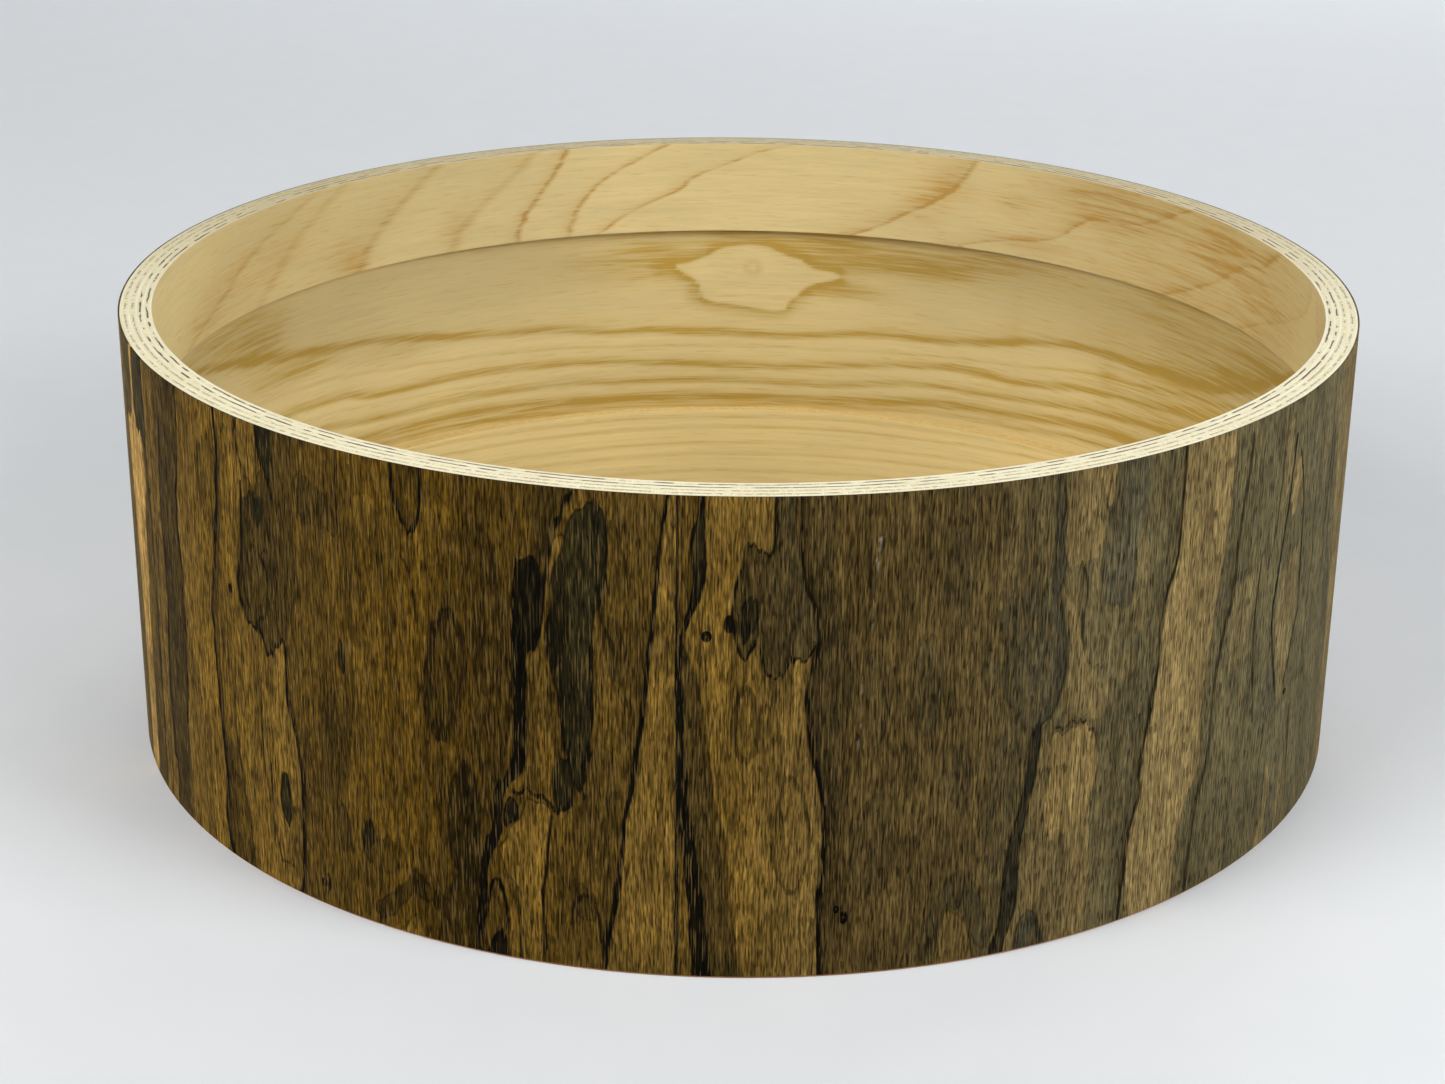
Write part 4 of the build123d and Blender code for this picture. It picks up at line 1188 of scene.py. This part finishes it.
VENEER = veneer_material()
INNER_FACE = inner_face_material("inner_ply", EARLY_WOOD, LATE_WOOD, 60, 1500)
LOW_RING_FACE = inner_face_material("low_ring_face", linear(236, 212, 150), linear(196, 158, 70), 60, 1500)
RING_FACE = inner_face_material("ring_face", linear(208, 188, 134), linear(172, 134, 62), 70, 1300)
LONG_EDGE = long_edge_material("long_ply_edge", FAR_RIM_SHADE)
LONG_LEDGE = long_edge_material("long_ply_ledge", LEDGE_LIT_WOOD)
CROSS_STRONG = cross_edge_material("cross_ply_edge", 1.0, 170, FAR_RIM_SHADE)
CROSS_FAINT = cross_edge_material("cross_ply_edge_faint", 0.5, 420, FAR_RIM_SHADE)
CROSS_LEDGE = cross_edge_material("cross_ply_ledge", 0.25, 420, LEDGE_LIT_WOOD)

# ---------------------------------------------------------------- the veneer leaves

LEAF_COLUMNS = 620
LEAF_ROWS = 146
LEAF_EDGE_ROUND = 0.06 * MM
VENEER_INNER_RADIUS = outer_radius("shell_ply_1")
SURFACE_ROUGHNESS = 0.012  # millimetres
OUTSIDE_MARGIN = 0.01 * MM
CHIPS = [(55.6, 1.1, 0.7), (57.4, 1.6, 0.5), (-61, 0.8, 0.25)]  # azimuth, half width in degrees, depth in mm
CHIP_HEIGHT = 127  # millimetres, above which the chips are
CHIP_RADII = (176.4, 177.0)  # millimetres, across which a chip gets deeper outwards


def sink_figure(azimuth, vertices, dent):
    """Presses the dents and a fine roughness into the outside, and breaks the chips out of the top edge."""
    height = vertices[:, 2] / MM
    radius = np.hypot(vertices[:, 0], vertices[:, 1])
    outside = radius > SHELL_RADIUS - OUTSIDE_MARGIN
    roughness = lattice_noise(azimuth * DEGREE_ARC / 0.7, height / 9, 71)
    roughened = SURFACE_ROUGHNESS * (1 + roughness) / 2
    sink = np.where(outside, (dent + roughened) * MM, 0)
    shrink = (radius - sink) / radius
    vertices[:, 0] *= shrink
    vertices[:, 1] *= shrink
    for centre, half_width, depth in CHIPS:
        near = np.exp(-(((azimuth - centre) / half_width) ** 2)) * (height > CHIP_HEIGHT)
        ragged = 0.7 + 0.3 * lattice_noise(azimuth * 4, height, 73)
        vertices[:, 2] -= near * ragged * depth * MM * smooth_step(*CHIP_RADII, radius / MM)


for leaf in VENEER_LEAVES:
    node = "face_veneer_" + leaf
    half_gap = math.degrees(SEAM_GAP / SHELL_RADIUS) / 2
    section = strip_section(
        VENEER_INNER_RADIUS, SHELL_RADIUS, VENEER_BOTTOM, SHELL_HEIGHT, LEAF_EDGE_ROUND, LEAF_ROWS,
        [SHELL_HEIGHT - LEAF_EDGE_ROUND, VENEER_BOTTOM + LEAF_EDGE_ROUND],
    )
    piece, azimuth, vertices = bent_strip(
        "figured_veneer_" + leaf, section, LEAF_START[leaf] + half_gap, LEAF_SWEEP - 2 * half_gap,
        LEAF_COLUMNS,
    )
    numbers, dent = veneer_figure(leaf, azimuth, vertices[:, 2] / MM)
    sink_figure(azimuth, vertices, dent)
    piece.data.vertices.foreach_set("co", vertices.ravel())
    write_numbers(piece.data, numbers)
    write_unrolled(piece.data, azimuth, vertices)
    finish_piece(piece, node, [VENEER])

# ---------------------------------------------------------------- the plies

PLY_COLUMNS = 540
FACE_COLUMNS = {"shell_ply_5": 760, "top_ring_ply_4": 1000, "bottom_ring_ply_4": 600}
FACE_ROW = 0.45  # millimetres
WALL_ROW = 0.6  # millimetres
PLAIN_ROWS = 2
PLY_EDGE_ROUND = 0.05 * MM
CUT_MARGIN = 0.02 * MM
FAR_SIDE = (72, 130)  # degrees from the front, between which the rim turns to its painted shade
LEDGE_SHARE = 1.2


def stack(prefix, count, innermost_radius):
    """The plies' node names, from the outside in, each with its inner radius."""
    names = [f"{prefix}_{i}" for i in range(1, count + 1)]
    inner = [outer_radius(n) for n in names[1:]] + [innermost_radius]
    return list(zip(names, inner))


def top_or_bottom(low, high):
    """Picks material 1 for the faces of the two cut edges, and 0 for the rest."""
    def choose(centres):
        return (centres[:, 2] > high - CUT_MARGIN) | (centres[:, 2] < low + CUT_MARGIN)
    return choose


def ply_section(node, inner, outer, low, high):
    """A ply's section. A ply that shows its face has rows of points down it, to carry the grain."""
    bevel = LOWER_BEVEL if node == "shell_ply_1" else None
    top = high - PLY_EDGE_ROUND
    bottom = low + PLY_EDGE_ROUND
    if node == "shell_ply_5":
        rows = round((RING_BOTTOM - LOW_RING_TOP) / (WALL_ROW * MM))
        heights = [top, *np.linspace(RING_BOTTOM, LOW_RING_TOP, rows + 1), bottom]
    else:
        rows = round((top - bottom) / (FACE_ROW * MM)) if node in GRAIN else PLAIN_ROWS
        heights = np.linspace(top, bottom, rows + 1)
    return strip_section(inner, outer, low, high, PLY_EDGE_ROUND, PLAIN_ROWS, heights, bevel)


GRAIN = {"shell_ply_5": wall_grain, "top_ring_ply_4": ring_grain, "bottom_ring_ply_4": low_ring_grain}
FACE = {"shell_ply_5": INNER_FACE, "top_ring_ply_4": RING_FACE, "bottom_ring_ply_4": LOW_RING_FACE}
CROSS = {
    "shell_ply_2": CROSS_FAINT, "shell_ply_4": CROSS_FAINT, "top_ring_ply_1": CROSS_STRONG,
    "top_ring_ply_3": CROSS_STRONG, "bottom_ring_ply_1": CROSS_LEDGE, "bottom_ring_ply_3": CROSS_LEDGE,
}

plies = stack("shell_ply", 5, SHELL_INNER_RADIUS)
plies += stack("top_ring_ply", 4, RING_INNER_RADIUS)
plies += stack("bottom_ring_ply", 4, RING_INNER_RADIUS)

for node, inner in plies:
    low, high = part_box(node)
    outer = outer_radius(node)
    half_gap = math.degrees(SEAM_GAP / outer) / 2
    section = ply_section(node, inner, outer, low.z, high.z)
    columns = FACE_COLUMNS.get(node, PLY_COLUMNS)
    piece, azimuth, vertices = bent_strip(
        "wood_" + node, section, PLY_SEAMS[node] + half_gap, 360 - 2 * half_gap, columns
    )
    write_unrolled(piece.data, azimuth, vertices)
    # painted warm light on the lower ring's upper half
    if node.startswith("bottom_ring"):
        painted_lighting = np.where(vertices[:, 2] > LOW_RING_TOP / 2, LEDGE_SHARE, 0.0)
        long_edge = LONG_LEDGE
    else:
        # painted shade on the rim, growing across the shell
        painted_lighting = smooth_step(*FAR_SIDE, np.abs(np.mod(azimuth + 180, 360) - 180))
        long_edge = LONG_EDGE
    write_numbers(piece.data, {"painted_lighting": painted_lighting})
    if node in GRAIN:
        late = GRAIN[node](azimuth, vertices[:, 2] / MM)
        # painted shade on the inner wall under the top ring
        painted_shade = painted_wall_shade(azimuth, vertices[:, 2] / MM)
        write_numbers(piece.data, {"late": late, "painted_shade": painted_shade})
        finish_piece(piece, node, [FACE[node], long_edge], top_or_bottom(low.z, high.z))
    elif node in CROSS:
        radius = np.hypot(vertices[:, 0], vertices[:, 1])
        write_numbers(piece.data, {"band": (radius - (inner + outer) / 2) / MM})
        finish_piece(piece, node, [CROSS[node]])
    else:
        finish_piece(piece, node, [long_edge])

# ---------------------------------------------------------------- floor, light and camera

FLOOR_REACH = 4.4
FLOOR_STEPS = 44
SWEEP_START = {"back": 1.6, "front": 2.2, "side": 2.4}
SWEEP_STEEPNESS = 0.55


def floor_rise(x, y):
    """The floor's height: level round the object, and sweeping up far beyond it on every side."""
    past = (y - SWEEP_START["back"], -y - SWEEP_START["front"], abs(x) - SWEEP_START["side"])
    beyond = [max(0.0, distance) for distance in past]
    return SWEEP_STEEPNESS * sum(b * b for b in beyond)


floor_mesh = bpy.data.meshes.new("floor")
floor_points = []
floor_faces = []
for i in range(FLOOR_STEPS + 1):
    for j in range(FLOOR_STEPS + 1):
        x = FLOOR_REACH * (2 * i / FLOOR_STEPS - 1)
        y = FLOOR_REACH * (2 * j / FLOOR_STEPS - 1)
        floor_points.append((x, y, floor_rise(x, y)))
        if i < FLOOR_STEPS and j < FLOOR_STEPS:
            corner = i * (FLOOR_STEPS + 1) + j
            floor_faces.append((corner, corner + FLOOR_STEPS + 1, corner + FLOOR_STEPS + 2, corner + 1))
floor_mesh.from_pydata(floor_points, [], floor_faces)
floor_mesh.materials.append(floor_material())
floor_mesh.polygons.foreach_set("use_smooth", np.ones(len(floor_faces), bool))
floor = bpy.data.objects.new("floor", floor_mesh)
bpy.context.scene.collection.objects.link(floor)

WARM = (1.0, 0.99, 0.97)
NEUTRAL = (0.98, 0.99, 1.0)
COOL = (0.97, 0.99, 1.0)
# Soft lights: name, place, target, width, depth, watts and colour.
LIGHTS = [
    ("left_high", (-1.0, -1.0, 1.2), (0, 0, 0), 0.9, 0.7, 11.9, WARM),
    ("left_low", (-1.3, -0.8, 0.7), (0, 0, 0), 0.8, 0.6, 10.4, WARM),
    ("right_high", (1.0, -1.0, 1.2), (0, 0, 0), 0.9, 0.7, 5.4, WARM),
    ("right_low", (1.3, -0.8, 0.7), (0, 0, 0), 0.8, 0.6, 15.4, NEUTRAL),
    ("back_middle", (0.3, 2.6, 1.2), (0.2, 1.5, 0), 1.8, 0.8, 20.5, COOL),
    ("back_right", (1.6, 2.3, 1.1), (0.6, 1.0, 0), 1.6, 1.0, 16, COOL),
    ("back_left", (-1.6, 2.3, 1.1), (-0.6, 1.0, 0), 1.6, 1.0, 5.6, COOL),
    # These only light the far sweep of the floor, for the views from the sides and the back.
    ("front_sweep", (0.0, -3.0, 2.4), (0.0, -4.2, 0.4), 3.6, 1.2, 22, COOL),
    ("left_sweep", (-3.0, 0.0, 2.4), (-4.2, 0.0, 0.4), 3.6, 1.2, 11, COOL),
    ("right_sweep", (3.0, 0.0, 2.4), (4.2, 0.0, 0.4), 3.6, 1.2, 11, COOL),
]

for name, place, target, width, depth, power, colour in LIGHTS:
    lamp = bpy.data.lights.new(name, "AREA")
    lamp.shape = "RECTANGLE"
    lamp.size = width
    lamp.size_y = depth
    lamp.energy = power
    lamp.color = colour
    holder = bpy.data.objects.new(name, lamp)
    holder.location = place
    holder.rotation_euler = (Vector(target) - Vector(place)).to_track_quat("-Z", "Y").to_euler()
    bpy.context.scene.collection.objects.link(holder)

SKY_COLOUR = (0.93, 0.97, 1.0, 1)
SKY_STRENGTH = 0.01
world = bpy.data.worlds.new("studio")
world.use_nodes = True
world.node_tree.nodes["Background"].inputs["Color"].default_value = SKY_COLOUR
world.node_tree.nodes["Background"].inputs["Strength"].default_value = SKY_STRENGTH
bpy.context.scene.world = world
bpy.context.scene.view_settings.view_transform = "Standard"
bpy.context.scene.view_settings.look = "None"

# The camera that fits the photograph's rim and lower edge. Angles are in degrees.
CAMERA_PLACE = (0.0, -0.78214, 0.35853)
CAMERA_TURN = -0.2864
CAMERA_DOWN = 21.7393
CAMERA_ROLL = 0.5340
CAMERA_LENS = 69.4955  # millimetres, on a sensor of CAMERA_SENSOR
CAMERA_SENSOR = 36.0
turn, down, roll = (math.radians(v) for v in (CAMERA_TURN, CAMERA_DOWN, CAMERA_ROLL))
ahead = Vector((math.sin(turn) * math.cos(down), math.cos(turn) * math.cos(down), -math.sin(down)))
right = Vector((math.cos(turn), -math.sin(turn), 0))
above = right.cross(ahead)
rolled_right = math.cos(roll) * right + math.sin(roll) * above
rolled_up = math.cos(roll) * above - math.sin(roll) * right
camera_data = bpy.data.cameras.new("camera")
camera_data.sensor_width = CAMERA_SENSOR
camera_data.lens = CAMERA_LENS
camera = bpy.data.objects.new("camera", camera_data)
axes = Matrix((rolled_right, rolled_up, -ahead)).transposed().to_4x4()
camera.matrix_world = Matrix.Translation(CAMERA_PLACE) @ axes
bpy.context.scene.collection.objects.link(camera)
bpy.context.scene.camera = camera
